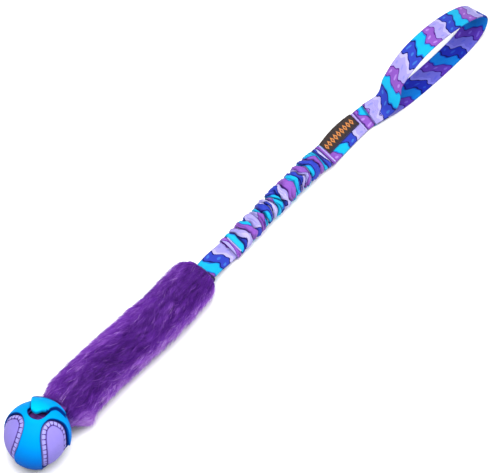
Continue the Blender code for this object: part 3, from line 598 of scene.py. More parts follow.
def smax(a, b, k):
    h = np.clip(k - np.abs(a - b), 0.0, None) / k
    return np.maximum(a, b) + h * h * k * 0.25


def smin(a, b, k):
    return -smax(-a, -b, k)


def window_wide(k, side, el):
    """Half width in degrees of window k on its -/+ azimuth side, at that elevation."""
    low = smoothstep(30.0, -10.0, el)
    if k == 0 and side == 1:
        low = smoothstep(38.0, 2.0, el) * (1.0 - smoothstep(-6.0, -26.0, el))
    return WINDOW_HALF[k][side] + WINDOW_FLARE[k][side] * low


def window_ring(k, n):
    """Azimuth and elevation in degrees all the way round window k."""
    (p0, p1), rise = WINDOW_POWER[k], WINDOW_RISE[k]
    mid, half = (WINDOW_TOP[k] + WINDOW_BOTTOM[k]) / 2, (WINDOW_TOP[k] - WINDOW_BOTTOM[k]) / 2
    up = np.linspace(-0.86, 0.86, n)
    right, left = (1 - np.abs(up) ** rise) ** (1 / p1), (1 - np.abs(up) ** rise) ** (1 / p0)
    across = np.linspace(right[-1], -left[-1], n)[1:-1]
    height = (1 - np.abs(across) ** np.where(across > 0, p1, p0)) ** (1 / rise)
    a = np.concatenate([right, across, -left[::-1], across[::-1]])
    e = mid + half * np.concatenate([up, height, up[::-1], -height[::-1]])
    wide = np.where(a > 0, window_wide(k, 1, e), window_wide(k, 0, e))
    return WINDOW_AZ[k] + wide * a, e


def window_distance(p, r):
    """Distance to the nearest window's edge along the ball, negative inside it, and which window."""
    az = np.degrees(np.arctan2(p[:, 1], p[:, 0]))
    el = np.degrees(np.arcsin(np.clip(p[:, 2] / r, -1, 1)))
    best = np.full(len(p), 1e3)
    which = np.zeros(len(p), int)
    deg = np.radians(1.0) * r
    for k in range(3):
        mid = (WINDOW_TOP[k] + WINDOW_BOTTOM[k]) / 2
        half = (WINDOW_TOP[k] - WINDOW_BOTTOM[k]) / 2
        a = (az - WINDOW_AZ[k] + 180.0) % 360.0 - 180.0
        e = el - mid
        wide = np.where(a > 0, window_wide(k, 1, el), window_wide(k, 0, el))
        power = np.where(a > 0, WINDOW_POWER[k][1], WINDOW_POWER[k][0])
        aa, ee = np.maximum(np.abs(a / wide), 1e-3), np.maximum(np.abs(e / half), 1e-3)
        rise = WINDOW_RISE[k]
        fa, fe = aa ** power, ee ** rise
        f = fa + fe
        mean = (power * fa + rise * fe) / f
        scale = f ** (1.0 / mean - 1.0) / mean
        ga = scale * power * aa ** (power - 1.0) / wide / (deg * np.maximum(np.cos(np.radians(el)), 0.08))
        ge = scale * rise * ee ** (rise - 1.0) / half / deg
        d = (f ** (1.0 / mean) - 1.0) / np.sqrt(ga * ga + ge * ge + 1e-7)
        d = np.clip(d, -14.0, 14.0)
        which = np.where(d < best, k, which)
        best = np.minimum(best, d)
    return best, which


def pad_radius(p, which):
    """How far out the inner ball swells in the window that a direction belongs to."""
    d = p / np.maximum(np.linalg.norm(p, axis=1, keepdims=True), 1e-9)
    off = np.array(PAD_OFF)[which]
    rad = np.array(PAD_R)[which]
    along = (d * off).sum(1)
    return along + np.sqrt(np.maximum(rad ** 2 - (off ** 2).sum(1) + along ** 2, 1.0))


def hole_distance(p, r):
    """Distances to the mouth and to the strap slot, negative inside them."""
    up = p[:, 2] > 4.0
    mouth = np.full(len(p), 20.0)
    q = p[up]
    s = BALL_R / r[up]
    near = np.hypot(q[:, 0] * s, q[:, 1] * s) < 16.0
    idx = np.nonzero(up)[0][near]
    if len(idx):
        k = BALL_R / r[idx]
        mouth[idx] = polygon_distance(p[idx, 0] * k, p[idx, 1] * k, MOUTH_LINE)
    tx, ty = heading(30.0)
    y30 = float(plan_y(30.0))
    w = p + CENTRE
    along = (w[:, 0] - 30.0) * tx + (w[:, 1] - y30) * ty
    across = -(w[:, 0] - 30.0) * ty + (w[:, 1] - y30) * tx
    slot = np.maximum(np.abs(across) - 11.2, np.abs(w[:, 2] - 42.0) - 2.4)
    slot = np.where(along > -14.0, slot, 20.0)
    return mouth, slot


def tongue_distance(x, y):
    """Distance to the tongue's outline, whose rounded near edge is drawn in a little."""
    return polygon_distance(x, y, TONGUE_LINE) + 0.9 * smoothstep(8.0, 13.0, x) * smoothstep(4.0, -3.0, y)


def shell_sdf(p):
    r = np.linalg.norm(p, axis=1) + 1e-9
    out = np.maximum(r - 40.0, 28.0 - r) + 2.0
    m = (r > 28.0) & (r < 40.0)
    q, rq = p[m], r[m]
    win = window_distance(q, rq)[0]
    mouth, slot = hole_distance(q, rq)
    f = smax(rq - BALL_R, 30.0 - rq, 0.4)
    f = smax(f, -win, 1.2)
    f = smax(f, -mouth, 1.0)
    tongue = np.full(len(q), 20.0)
    t = (q[:, 2] > 2.0) & (q[:, 0] > -6.0)
    k = LIP_R / rq[t]
    tongue[t] = tongue_distance(q[t, 0] * k, q[t, 1] * k)
    lip = smax(smax(np.linalg.norm(q - LIP_OFF, axis=1) - LIP_R, 32.2 - rq, 0.5), tongue, 1.3)
    f = smin(f, lip, 0.6)
    f = smax(f, -slot, 0.8)
    out[m] = f
    return out


def shell_shade(p):
    """Painted shade where the moulded edges fall away: window walls, mouth, and the step round the tongue."""
    r = np.linalg.norm(p, axis=1) + 1e-9
    win = window_distance(p, r)[0]
    mouth = hole_distance(p, r)[0]
    el = p[:, 2] / r
    deep = smoothstep(BALL_R - 0.15, BALL_R - 1.5, r)
    rim = np.exp(-((win - 0.15) / 0.75) ** 2) * (0.25 + 0.75 * smoothstep(-0.2, 0.55, el)) * (r < BALL_R + 0.4)
    wall = (np.abs(win) < 1.3) * deep
    hole = (mouth < 1.2) * deep + 0.5 * np.exp(-((mouth - 0.1) / 0.6) ** 2) * (r < BALL_R + 0.4)
    k = LIP_R / r
    t = p[:, 2] > 2.0
    tongue = np.full(len(p), 20.0)
    tongue[t] = tongue_distance(p[t, 0] * k[t], p[t, 1] * k[t])
    step = np.exp(-(np.minimum(tongue - 0.1, 0.0) / 0.7) ** 2 - (np.maximum(tongue - 0.9, 0.0) / 0.7) ** 2)
    front = (p[:, 0] * k < 9.0) & (p[:, 1] * k < 6.0) & (p[:, 1] * k > -8.6)
    step = step * np.where(front, 0.30 * smoothstep(LIP_R - 1.2, LIP_R - 2.6, r), 1.0)
    # painted shade on the far edge of the tongue, where it falls away to the sleeve
    back = 0.85 * (r > BALL_R + 0.9) * smoothstep(20.5, 24.5, (p[:, 0] * 0.772 + p[:, 1] * 0.636) * k)
    return np.clip(np.maximum.reduce([rim, wall, hole, step, back]), 0.0, 1.0)


def core_sdf(p):
    r = np.linalg.norm(p, axis=1) + 1e-9
    out = np.maximum(r - 34.5, 24.5 - r) + 2.0
    m = (r > 24.5) & (r < 34.5)
    q, rq = p[m], r[m]
    win, which = window_distance(q, rq)
    mouth, slot = hole_distance(q, rq)
    surface = CORE_R - 0.25 + (pad_radius(q, which) - CORE_R) * smoothstep(-0.25, -1.7, win) \
        - 0.95 * np.exp(-((win + 5.5) / 0.62) ** 2) + 0.2 * smoothstep(-5.6, -8.0, win)
    f = smax(rq - surface, 27.0 - rq, 0.3)
    f = smax(f, -mouth, 0.5)
    f = smax(f, -slot, 0.5)
    out[m] = f
    return out


def surface_nets(fn, half, h):
    """Even quad mesh of the surface where fn is zero, inside a cube of that half width."""
    n = int(math.ceil(2 * half / h)) + 1
    ax = -half + h * np.arange(n) + 0.137 * h
    gx, gy, gz = np.meshgrid(ax, ax, ax, indexing='ij')
    pts = np.stack([gx.ravel(), gy.ravel(), gz.ravel()], 1)
    val = fn(pts).reshape(n, n, n)
    ins = val < 0
    c = n - 1
    total = np.zeros((c, c, c, 3))
    count = np.zeros((c, c, c))
    quads = []
    for axis in range(3):
        lo = [slice(None)] * 3
        hi = [slice(None)] * 3
        lo[axis], hi[axis] = slice(0, n - 1), slice(1, n)
        a, b = val[tuple(lo)], val[tuple(hi)]
        cross = ins[tuple(lo)] != ins[tuple(hi)]
        t = np.where(cross, a / np.where(cross, a - b, 1.0), 0.0)
        pos = np.stack([gx[tuple(lo)], gy[tuple(lo)], gz[tuple(lo)]], -1)
        pos[..., axis] += t * h
        pos *= cross[..., None]
        o1, o2 = [k for k in range(3) if k != axis]
        for d1 in (0, 1):
            for d2 in (0, 1):
                sl = [slice(None)] * 3
                sl[axis] = slice(0, c)
                sl[o1], sl[o2] = slice(d1, d1 + c), slice(d2, d2 + c)
                total += pos[tuple(sl)]
                count += cross[tuple(sl)]
        inner = [slice(None)] * 3
        inner[o1], inner[o2] = slice(1, n - 1), slice(1, n - 1)
        e = np.argwhere(cross[tuple(inner)])
        e[:, o1] += 1
        e[:, o2] += 1
        s = ins[tuple(e.T)]
        cells = []
        for d1, d2 in ((-1, -1), (0, -1), (0, 0), (-1, 0)):
            k = e.copy()
            k[:, o1] += d1
            k[:, o2] += d2
            cells.append((k[:, 0] * c + k[:, 1]) * c + k[:, 2])
        q = np.stack(cells, 1)
        flip = s if axis != 1 else ~s
        q[~flip] = q[~flip][:, ::-1]
        quads.append(q)
    active = count > 0
    number = np.full(c ** 3, -1)
    number[active.ravel()] = np.arange(active.sum())
    verts = total[active] / count[active][:, None]
    quads = number[np.concatenate(quads)]
    return verts, quads


def relax_on(fn, verts, quads, rounds=3):
    """Pulls the vertices onto fn = 0 and evens out their spacing along it."""
    eps = 0.05
    for step in range(rounds):
        f = fn(verts)
        g = np.stack([fn(verts + np.eye(3)[k] * eps) - fn(verts - np.eye(3)[k] * eps) for k in range(3)], 1) / (2 * eps)
        gg = np.maximum((g * g).sum(1), 0.2)
        verts = verts - np.clip(f / gg, -0.4, 0.4)[:, None] * g
        if step < rounds - 1:
            near = np.zeros_like(verts)
            num = np.zeros(len(verts))
            for a in range(4):
                b = (a + 1) % 4
                for i, j in ((a, b), (b, a)):
                    np.add.at(near, quads[:, i], verts[quads[:, j]])
                    np.add.at(num, quads[:, i], 1.0)
            move = near / num[:, None] - verts
            nrm = g / np.sqrt(gg)[:, None]
            move -= (move * nrm).sum(1)[:, None] * nrm
            verts = verts + 0.5 * move
    return verts


def core_shade(p):
    """The pale band outside the moulded seam, and painted shade: a dark line in the seam's groove and darkening where
    the shell's edge shades the core.
    """
    r = np.linalg.norm(p, axis=1) + 1e-9
    win = window_distance(p, r)[0]
    band = smoothstep(-0.2, -1.0, win) * smoothstep(-5.0, -4.4, win)
    line = np.exp(-((win + 5.5) / 0.55) ** 2)
    return np.clip(0.5 + 0.5 * band * (1 - line) - 0.5 * line - 0.45 * smoothstep(-0.9, 0.4, win), 0.0, 1.0)


def ball_piece(name, fn, half, h, mat, shade):
    v, q = surface_nets(fn, half, h)
    v = relax_on(fn, v, q)
    ob = make_mesh(name, v + CENTRE, [q], mat, attrs={"shade": shade(v)}, limp=False)
    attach(ob, "ball")
    return ob


RES = 1.0
shell = ball_piece("ball_outer_shell", shell_sdf, 38.4, 0.56 * RES, M_SHELL, shell_shade)
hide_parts("ball_shell")
core = ball_piece("ball_inner_core", core_sdf, 32.8, 0.52 * RES, M_CORE, core_shade)
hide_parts("ball_core")


def capsules(name, p0, p1, rad, mat, normal=None, sides=7, flat=1.0):
    """Short round-ended threads, each a closed body; flat below 1 presses them on normal."""
    p0, p1 = np.asarray(p0, float), np.asarray(p1, float)
    n = len(p0)
    rad = np.broadcast_to(np.asarray(rad, float), (n,))
    d = p1 - p0
    ln = np.linalg.norm(d, axis=1, keepdims=True)
    t = d / np.maximum(ln, 1e-9)
    nn = np.broadcast_to(np.asarray((0, 0, 1.0) if normal is None else normal, float), (n, 3))
    b = np.cross(t, nn)
    b /= np.maximum(np.linalg.norm(b, axis=1, keepdims=True), 1e-9)
    nn = np.cross(b, t)
    rings = ((-0.72, 0.70), (0.0, 1.0), (1.0, 1.0), (1.72, 0.70))
    verts = [p0 - t * rad[:, None]]
    for pos, sc in rings:
        base = p0 + t * (rad[:, None] * pos) if pos <= 0 else (p1 + t * (rad[:, None] * (pos - 1.0)))
        for j in range(sides):
            a = 2 * math.pi * j / sides
            verts.append(base + (b * math.cos(a) + nn * (math.sin(a) * flat)) * (rad[:, None] * sc))
    verts.append(p1 + t * rad[:, None])
    m = len(verts)
    v = np.stack(verts, 1).reshape(-1, 3)
    off = (np.arange(n) * m)[:, None]
    quads, tris = [], []
    for r in range(3):
        for j in range(sides):
            a, c = 1 + r * sides + j, 1 + r * sides + (j + 1) % sides
            quads.append((a, c, c + sides, a + sides))
    for j in range(sides):
        a, c = 1 + j, 1 + (j + 1) % sides
        tris.append((0, c, a))
        a, c = 1 + 3 * sides + j, 1 + 3 * sides + (j + 1) % sides
        tris.append((m - 1, a, c))
    quads = (np.array(quads)[None] + off[:, :, None]).reshape(-1, 4)
    tris = (np.array(tris)[None] + off[:, :, None]).reshape(-1, 3)
    return make_mesh(name, v, [quads, tris], mat)


def seam_rungs():
    """Short ribs that cross the band between each window's edge and the moulded seam."""
    p0, p1, nn = [], [], []
    for k in range(3):
        mid = (WINDOW_TOP[k] + WINDOW_BOTTOM[k]) / 2
        a, e = window_ring(k, 400)
        a = np.radians(a)
        e = np.radians(e)
        d = np.stack([np.cos(e) * np.cos(a), np.cos(e) * np.sin(a), np.sin(e)], 1)
        seg = np.linalg.norm(np.roll(d, -1, 0) - d, axis=1) * CORE_R
        s_at = np.concatenate([[0], np.cumsum(seg)])
        count = int(round(s_at[-1] / 5.2))
        want = (np.arange(count) + 0.5) * s_at[-1] / count
        i = np.searchsorted(s_at, want) % len(d)
        tan = np.roll(d, -6, 0)[i] - np.roll(d, 6, 0)[i]
        tan /= np.linalg.norm(tan, axis=1, keepdims=True)
        inward = np.cross(d[i], tan)
        centre = d[i]
        for sign in (1.0,):
            mid_dir = np.array([math.cos(math.radians(mid)) * math.cos(math.radians(WINDOW_AZ[k])),
                                math.cos(math.radians(mid)) * math.sin(math.radians(WINDOW_AZ[k])),
                                math.sin(math.radians(mid))])
            flip = ((mid_dir - centre) * inward).sum(1) < 0
            inward[flip] *= -1
        q0 = centre * CORE_R + inward * 1.7
        q1 = centre * CORE_R + inward * 5.0
        which = np.full(len(q0), k)
        for q, sink in ((q0, 0.55), (q1, 0.32)):
            q *= ((pad_radius(q, which) - sink) / np.linalg.norm(q, axis=1))[:, None]
        p0.append(q0)
        p1.append(q1)
        nn.append(centre)
    p0, p1, nn = np.concatenate(p0), np.concatenate(p1), np.concatenate(nn)
    ob = capsules("ball_seam_stitches", p0 + CENTRE, p1 + CENTRE, 0.58, M_SEAM, normal=nn, flat=0.8)
    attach(ob, "ball")
    return ob


seam_rungs()


# -------------------------------------------------------------------- webbing
def strap_mesh(name, path, width, thick, mat, across=19, step=1.1, u0=0.0, print_at=None, wave=0.0,
               width_at=None, curl=None, dark_at=(), inner=0.0):
    """Webbing along (x, z) points. print_at shifts the print along it; wave makes its bands slant and wave;
    curl(s, x) lifts the edges a little, in millimetres."""
    d = dense_path(path, step)
    x, z = d[:, 0], d[:, 1]
    n = len(x)
    dx, dz = np.gradient(x), np.gradient(z)
    slope = np.arctan2(dz, dx)
    s_len = np.concatenate([[0], np.cumsum(np.hypot(np.diff(x), np.diff(z)))])
    tx, ty = heading(x)
    side = np.stack([-ty, tx, np.zeros(n)], 1)
    up = np.stack([-tx * np.sin(slope), -ty * np.sin(slope), np.cos(slope)], 1)
    c = np.stack([x, plan_y(x), z], 1)
    w = np.full(n, width / 2) if width_at is None else width_at(x) / 2
    h = thick / 2
    e = 0.62 * thick
    a = np.linspace(-1, 1, across)
    prof = [(t, -1.0, 0.0) for t in a] + [(1.0, -0.55, 0.75), (1.0, 0.0, 1.0), (1.0, 0.55, 0.75)]
    prof += [(t, 1.0, 0.0) for t in a[::-1]] + [(-1.0, 0.55, -0.75), (-1.0, 0.0, -1.0), (-1.0, -0.55, -0.75)]
    rings, pu, pv, sh, deep = [], [], [], [], []
    for t, v, out in prof:
        u = t * (w - e) + out * e
        lift = 0.0 if curl is None else curl(s_len, x) * (t ** 2)
        rings.append(c + side * (u + u0)[:, None] + up * (v * h + lift)[:, None] if np.ndim(v * h + lift)
                     else c + side * (u + u0)[:, None] + up * (v * h))
        start = 0.0 if print_at is None else print_at
        pu.append(s_len + start + wave * (2.6 * np.sin(u * 0.33 + 0.9 * np.sin((s_len + start) * 0.09))
                                          + 0.42 * u + 1.1 * np.sin(u * 0.85 + (s_len + start) * 0.17)))
        pv.append(u)
        # painted shade along the webbing's rounded edges; dark_at adds dark lines across it
        tone = np.full(n, 0.55 if abs(out) > 0.8 else (0.30 if out else 0.0))
        for place, strength in dark_at:
            tone = np.maximum(tone, strength * np.exp(-((x - place) / 0.95) ** 2))
        sh.append(np.clip(tone, 0.0, 1.0))
        # painted shade on the hand loop's inner face (v > 0), from the box on
        deep.append(inner * smoothstep(548.0, 575.0, x) * (v > 0.4))
    k = len(prof)
    verts = np.stack(rings, 1).reshape(-1, 3)
    attrs = {"pu": np.stack(pu, 1).ravel(), "pv": np.stack(pv, 1).ravel(), "shade": np.stack(sh, 1).ravel(), "inner": np.stack(deep, 1).ravel()}
    faces = [grid_quads(n, k, flip=True), np.arange(k), ((n - 1) * k + np.arange(k))[::-1]]
    return make_mesh(name, verts, faces, mat, attrs=attrs)


STRAP_PATH = ((0.6, 54.0), (5.0, 54.4), (9.5, 53.9), (11.9, 52.1), (10.0, 50.2), (5.5, 49.6),
              (2.0, 48.6), (0.4, 46.5), (2.0, 44.4), (6.5, 43.0), (12.0, 42.4), (18.0, 42.1), (30.0, 42.0),
              (41.0, 41.0), (50.0, 37.6), (60.0, 33.6), (72.0, 30.3))
strap = strap_mesh("ball_strap_webbing", STRAP_PATH, 20.0, 1.6, M_PURPLE, across=17)
at(31, 42)
at(50, 38)
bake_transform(strap)
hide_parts("ball_strap")

LOWER_PATH = ((230.0, 18.6), (245.0, 17.6), (256.0, 16.9), (268.0, 15.9), (282.0, 14.4),
              (294.0, 11.8), (303.0, 9.8), (309.0, 9.4), (316.0, 9.4))
lower = strap_mesh("lower_printed_webbing", LOWER_PATH, 22.0, 1.6, M_PRINT,
                   print_at=-6.0, wave=1.0, dark_at=((265.8, 1.0),))
at(266, 16)
at(298, 11)
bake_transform(lower)
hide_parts("lower_webbing")


def tube_zc(x):
    return spline_at(((300, 11.9), (314, 12.0), (330, 12.2), (390, 12.3), (436, 12.2), (452, 9.6), (464, 7.4),
                      (471, 6.8)), x)


z455, z459, z464 = float(tube_zc(455.0)), float(tube_zc(459.5)), float(tube_zc(464.0))
UPPER_PATH = ((455.0, z455 - 2.5), (459.5, z459 - 2.5), (464.0, z464 - 2.5),
              (472.0, 3.7), (486.0, 3.5), (515.0, 3.5), (526.0, 3.6), (534.0, 4.1), (549.0, 4.2))
# dark_at: painted shade beside the hem bar and at the handle's end, where the webbing overlaps
upper = strap_mesh("upper_printed_webbing", UPPER_PATH, 24.0, 2.0, M_PRINT,
                   print_at=131.0, wave=1.0, dark_at=((523.3, 1.0), (533.6, 0.8)))
at(523, 3.6)
at(537, 4.1)
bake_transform(upper)
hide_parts("upper_webbing")

LOOP = ((534.5, 2.1), (547.0, 2.1), (558.0, 1.2), (572.0, 1.0), (600.0, 1.0), (628.0, 1.0), (656.0, 1.0),
        (680.0, 1.3), (694.0, 3.6), (704.0, 9.5), (708.0, 18.0), (705.5, 26.5),
        (697.0, 34.5), (679.0, 44.8), (659.0, 52.4), (626.0, 58.2), (597.0, 55.2),
        (579.0, 46.5), (567.0, 34.5), (559.0, 23.0), (554.0, 13.2), (550.4, 8.0), (546.0, 6.35),
        (540.0, 6.3), (534.5, 6.3))
# inner=1.0 paints shade on the loop's inner face
loop = strap_mesh("handle_printed_webbing", LOOP, 25.0, 1.6, M_PRINT,
                  print_at=42.0, wave=1.0, across=21, inner=1.0)
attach(loop, "handle")
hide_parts("handle_webbing")

# ------------------------------------------------------------------ fur sleeve
TOP = ((40, 54.0), (70, 52.6), (110, 49.6), (150, 48.6), (220, 45.4), (270, 42.0))
WIDE = ((40, 26.0), (80, 26.2), (150, 25.4), (220, 23.6), (270, 22.6))


def sleeve_zc(x):
    return spline_at(((44, 39.0), (52, 35.8), (60, 32.6), (72, 29.2), (90, 25.8), (130, 24.3), (200, 22.8),
                      (225, 20.9), (240, 19.2), (252, 18.2), (268, 17.2)), x)


def pile_section(x, inset=0.0):
    """Half width, half height and centre height of the pile's outside at x."""
    x = np.asarray(x, float)
    f0 = np.clip((x - 48.0 + 4.0) / 12.0, 0.0, 1.0)
    f1 = np.clip((257.4 - x) / 6.5, 0.0, 1.0)
    f = np.sqrt(np.maximum(1 - (1 - f0) ** 2, 0)) * np.sqrt(np.maximum(1 - (1 - f1) ** 2, 0))
    top = spline_at(TOP, x)
    b = top / 2 + 0.6
    zc = top - b
    a = 17.0 + (spline_at(WIDE, x) - 17.0) * f
    bb = 8.0 + (b - 8.0) * f
    z = sleeve_zc(x) + (zc - sleeve_zc(x)) * f
    return a - inset, bb - inset, z


def oval_points(x, a, b, zc, th, power=1.0):
    tx, ty = heading(x)
    c, s = np.cos(th), np.sin(th)
    if power != 1.0:
        c = np.sign(c) * np.abs(c) ** power
        s = np.sign(s) * np.abs(s) ** power
    u, w = a * c, b * s
    return np.stack([x - ty * u, plan_y(x) + tx * u, zc + w], -1)


def fur_skin():
    k, n = 96, 220
    th = np.arange(k) * 2 * math.pi / k
    xo = 49.5 + (255.4 - 49.5) * (0.5 - 0.5 * np.cos(np.linspace(0, math.pi, n)))
    X, T = np.meshgrid(xo, th, indexing='ij')
    a, b, zc = pile_section(X, 4.2)
    bumps = 0.8 * np.sin(X * 0.55 + 3 * np.sin(T * 2 + X * 0.07)) * np.sin(T * 9 + X * 0.13)
    out = oval_points(X, a + bumps, b + bumps, zc, T)
    out[..., 2] = np.maximum(out[..., 2], 0.9)
    xi = np.linspace(49.5, 255.4, 60)
    XI, TI = np.meshgrid(xi, th, indexing='ij')
    f = np.clip((XI - 58.0) / 26.0, 0, 1) * np.clip((248.0 - XI) / 24.0, 0, 1)
    f = f * f * (3 - 2 * f)
    inner = oval_points(XI, np.minimum(15.0 + 4.0 * f, 18.9), 5.6 + 13.2 * f, sleeve_zc(XI), TI)
    inner[..., 2] = np.maximum(inner[..., 2], 2.2)
    verts = np.concatenate([out.reshape(-1, 3), inner.reshape(-1, 3)])
    tint = np.concatenate([(0.16 + 0.05 * bumps).ravel(), np.full(inner.size // 3, 0.1)])
    ob = make_mesh("fur_sleeve_skin", verts, tube_faces(n, 60, k), M_FUR, attrs={"tint": tint}, limp=False)
    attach(ob, "sleeve")
    return ob


skin = fur_skin()
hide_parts("fur_pile")


def fur_blades(total, seed):
    """Curved tapering strands, each a closed body, lying towards the ball in fine locks.
    Some of them grow from the sleeve's end and close the gap to the ball."""
    rng = np.random.default_rng(seed)
    cap = total // 8
    is_cap = np.arange(total) >= total - cap
    x0 = np.where(is_cap, rng.uniform(49.0, 60.0, total), rng.uniform(49.5, 257.2, total))
    th = rng.uniform(0, 2 * math.pi, total)
    share = np.where(is_cap, np.sqrt(rng.uniform(0.05, 1.0, total)), 1.0)
    # some of the end's strands lie over the strap
    over = is_cap & (rng.uniform(0, 1, total) > 0.72)
    th = np.where(over, math.pi / 2 + rng.normal(0.0, 0.55, total), th)
    share = np.where(over, rng.uniform(0.16, 0.5, total), share)
    radius = 25.0
    arc = th * radius
    # fine locks: columns along the sleeve, cut into lengths at their own places
    cols = 112
    wide = 2 * math.pi * radius / cols
    rows, long = 26, 10.4
    shift = rng.uniform(0, long, cols)
    col = np.floor(arc / wide).astype(int) % cols
    row = np.clip(np.floor((x0 - 40.0 + shift[col]) / long).astype(int), 0, rows - 1)
    l_yaw = rng.normal(0.0, 0.13, (rows, cols))
    l_bend = rng.normal(0.0, 0.28, (rows, cols))
    l_len = rng.uniform(0.8, 1.2, (rows, cols))
    l_rise = rng.uniform(0.2, 1.0, (rows, cols))
    l_tone = rng.normal(0.0, 0.085, (rows, cols))
    l_tone += (rng.uniform(0, 1, (rows, cols)) > 0.87) * rng.uniform(0.10, 0.28, (rows, cols))
    l_tone -= (rng.uniform(0, 1, (rows, cols)) > 0.88) * rng.uniform(0.06, 0.16, (rows, cols))
    centre_a = (col + 0.5 + rng.uniform(-0.2, 0.2, (rows, cols))[row, col]) * wide
    yaw_l, bend_l, len_l, rise_l, tone_l = (q[row, col] for q in (l_yaw, l_bend, l_len, l_rise, l_tone))
    # guard hairs: longer, paler and more wilful than the rest
    guard = rng.uniform(0, 1, total) > 0.965
    flow = 0.22 * np.sin(x0 * 0.033 + 1.3 * np.sin(th)) + 0.14 * np.sin(2 * th + x0 * 0.055)
    yaw = flow + yaw_l + rng.normal(0, 0.10, total) + np.where(guard, rng.normal(0, 0.16, total), 0.0)
    bend = bend_l + rng.normal(0, 0.18, total) + np.where(guard, rng.normal(0, 0.45, total), 0.0)
    near_end = smoothstep(60.0, 49.0, x0)
    length = 14.5 * len_l * rng.uniform(0.7, 1.2, total) * (1.0 + 0.12 * near_end)
    length = np.where(guard, length * 1.25, length)
    length = np.where(is_cap, rng.uniform(13.0, 21.0, total), length)
    length = np.where(over, length + 4.0, length)
    rise = 3.4 * rise_l * rng.uniform(0.7, 1.3, total) + 0.9
    # a few tips stand clear of the rest and soften the outline
    proud = (rng.uniform(0, 1, total) > 0.78) * rng.uniform(0.8, 4.4, total)
    J = 6
    t = np.linspace(0, 1, J)[None, :]
    mid_t = (t[:, 1:] + t[:, :-1]) / 2
    ang = yaw[:, None] + bend[:, None] * (mid_t - 0.3)
    hop = length[:, None] / (J - 1)
    zero = np.zeros((total, 1))
    run = np.concatenate([zero, np.cumsum(hop * np.cos(ang), 1)], 1)
    drift = np.concatenate([zero, np.cumsum(hop * np.sin(ang), 1)], 1)
    bx = x0[:, None] - run
    own_a = arc[:, None] + drift
    lock_a = centre_a[:, None] + drift
    pull = (t ** 1.3) * rng.uniform(0.30, 0.85, total)[:, None] * np.where(guard, 0.2, 1.0)[:, None]
    ba = own_a * (1 - pull) + lock_a * pull
    T = ba / radius
    height = (rise + np.where(guard, 0.8, 0.0))[:, None] * (1 - (1 - t) ** 2.2) - 0.4
    height += proud[:, None] * t ** 1.6
    height -= 1.1 * t ** 4 * rng.uniform(0.0, 1.4, total)[:, None]
    # the corner of the sleeve's end that droops to the floor on the near side
    droop = np.exp(-((bx - 49.0) / 9.0) ** 2) * np.exp(-(((T - 3.80 + math.pi) % (2 * math.pi) - math.pi) / 0.55) ** 2)
    height += 5.6 * droop
    # the pile stands out more on the near side, from the middle on towards the bungee
    near = np.exp(-((bx - 200.0) / 44.0) ** 2) * np.exp(-(((T - 3.45 + math.pi) % (2 * math.pi) - math.pi) / 0.62) ** 2)
    height += 1.5 * near + 1.0 * np.exp(-((bx - 222.0) / 30.0) ** 2) * np.exp(-(((T - 0.45 + math.pi) % (2 * math.pi) - math.pi) / 0.5) ** 2)
    a, b, zc = pile_section(np.maximum(bx, 47.0), 4.3)
    shrink = 1.0 - 0.010 * np.clip(48.0 - bx, 0.0, 20.0)
    s_cap = share[:, None] + np.where(is_cap[:, None], 0.12 * t, 0.0)
    s_cap = np.minimum(s_cap, 1.0)
    pts = oval_points(bx, (a + height) * shrink * s_cap, (b + height) * shrink * s_cap, zc, T)
    # sag a little with the pile's own weight, rest on the floor, stay off the ball
    pts[..., 2] -= 0.5 * t ** 2 * np.abs(np.cos(T))
    pts[..., 2] = np.maximum(pts[..., 2], 0.25 + 0.5 * rng.uniform(0, 1, total)[:, None])
    rel = pts - CENTRE
    dist = np.linalg.norm(rel, axis=-1, keepdims=True)
    lip = np.where(rel[..., 2:3] > 9.0, LIP_R + 0.7, BALL_R + 0.8)
    pts = np.where(dist < lip, CENTRE + rel * (lip / dist), pts)
    # three-sided tapering strand
    d = np.gradient(pts, axis=1)
    d /= np.maximum(np.linalg.norm(d, axis=-1, keepdims=True), 1e-9)
    centre = np.stack([pts[..., 0], plan_y(pts[..., 0]), zc], -1)
    out = pts - centre
    out /= np.maximum(np.linalg.norm(out, axis=-1, keepdims=True), 1e-9)
    side = np.cross(d, out)
    side /= np.maximum(np.linalg.norm(side, axis=-1, keepdims=True), 1e-9)
    up = np.cross(side, d)
    thick = (rng.uniform(0.14, 0.23, total) * np.where(guard, 1.25, 1.0))[:, None] * np.clip(1.05 - t ** 2.4, 0.0, 1.0)
    verts = []
    for j in range(J - 1):
        for s in range(3):
            turn = math.pi / 2 + s * 2 * math.pi / 3
            verts.append(pts[:, j] + thick[:, j, None] * (side[:, j] * math.cos(turn) * 1.25 + up[:, j] * math.sin(turn)))
    verts.append(pts[:, J - 1])
    m = len(verts)
    v = np.stack(verts, 1)
    quads, tris = [], [(0, 1, 2)]
    for j in range(J - 2):
        for s in range(3):
            s2 = (s + 1) % 3
            quads.append((j * 3 + s, (j + 1) * 3 + s, (j + 1) * 3 + s2, j * 3 + s2))
    for s in range(3):
        tris.append(((J - 2) * 3 + s, m - 1, (J - 2) * 3 + (s + 1) % 3))
    # tone, with painted light and shade round the sleeve: darkest along a line above the near side, paler towards both
    # edges, most along the near lower one
    ph = (th - 2.04 + math.pi) % (2 * math.pi) - math.pi
    own = 0.36 + 0.17 * smoothstep(0.35, -0.95, ph) + 0.07 * smoothstep(-0.9, -1.5, ph) \
        + 0.30 * smoothstep(0.52, 1.0, ph) + 0.17 * smoothstep(0.95, 1.4, ph)
    own = np.where(np.abs(ph) > 1.9, 0.50, own)
    own = own + tone_l + rng.normal(0, 0.03, total) + np.where(guard, rng.uniform(0.10, 0.34, total), 0.0)
    # painted shade: the end's strands darker, close against the ball
    own = np.where(is_cap, own - 0.10 * (1.0 - 0.9 * share), own)
    tone = own[:, None] * (0.50 + 0.60 * t ** 0.8)
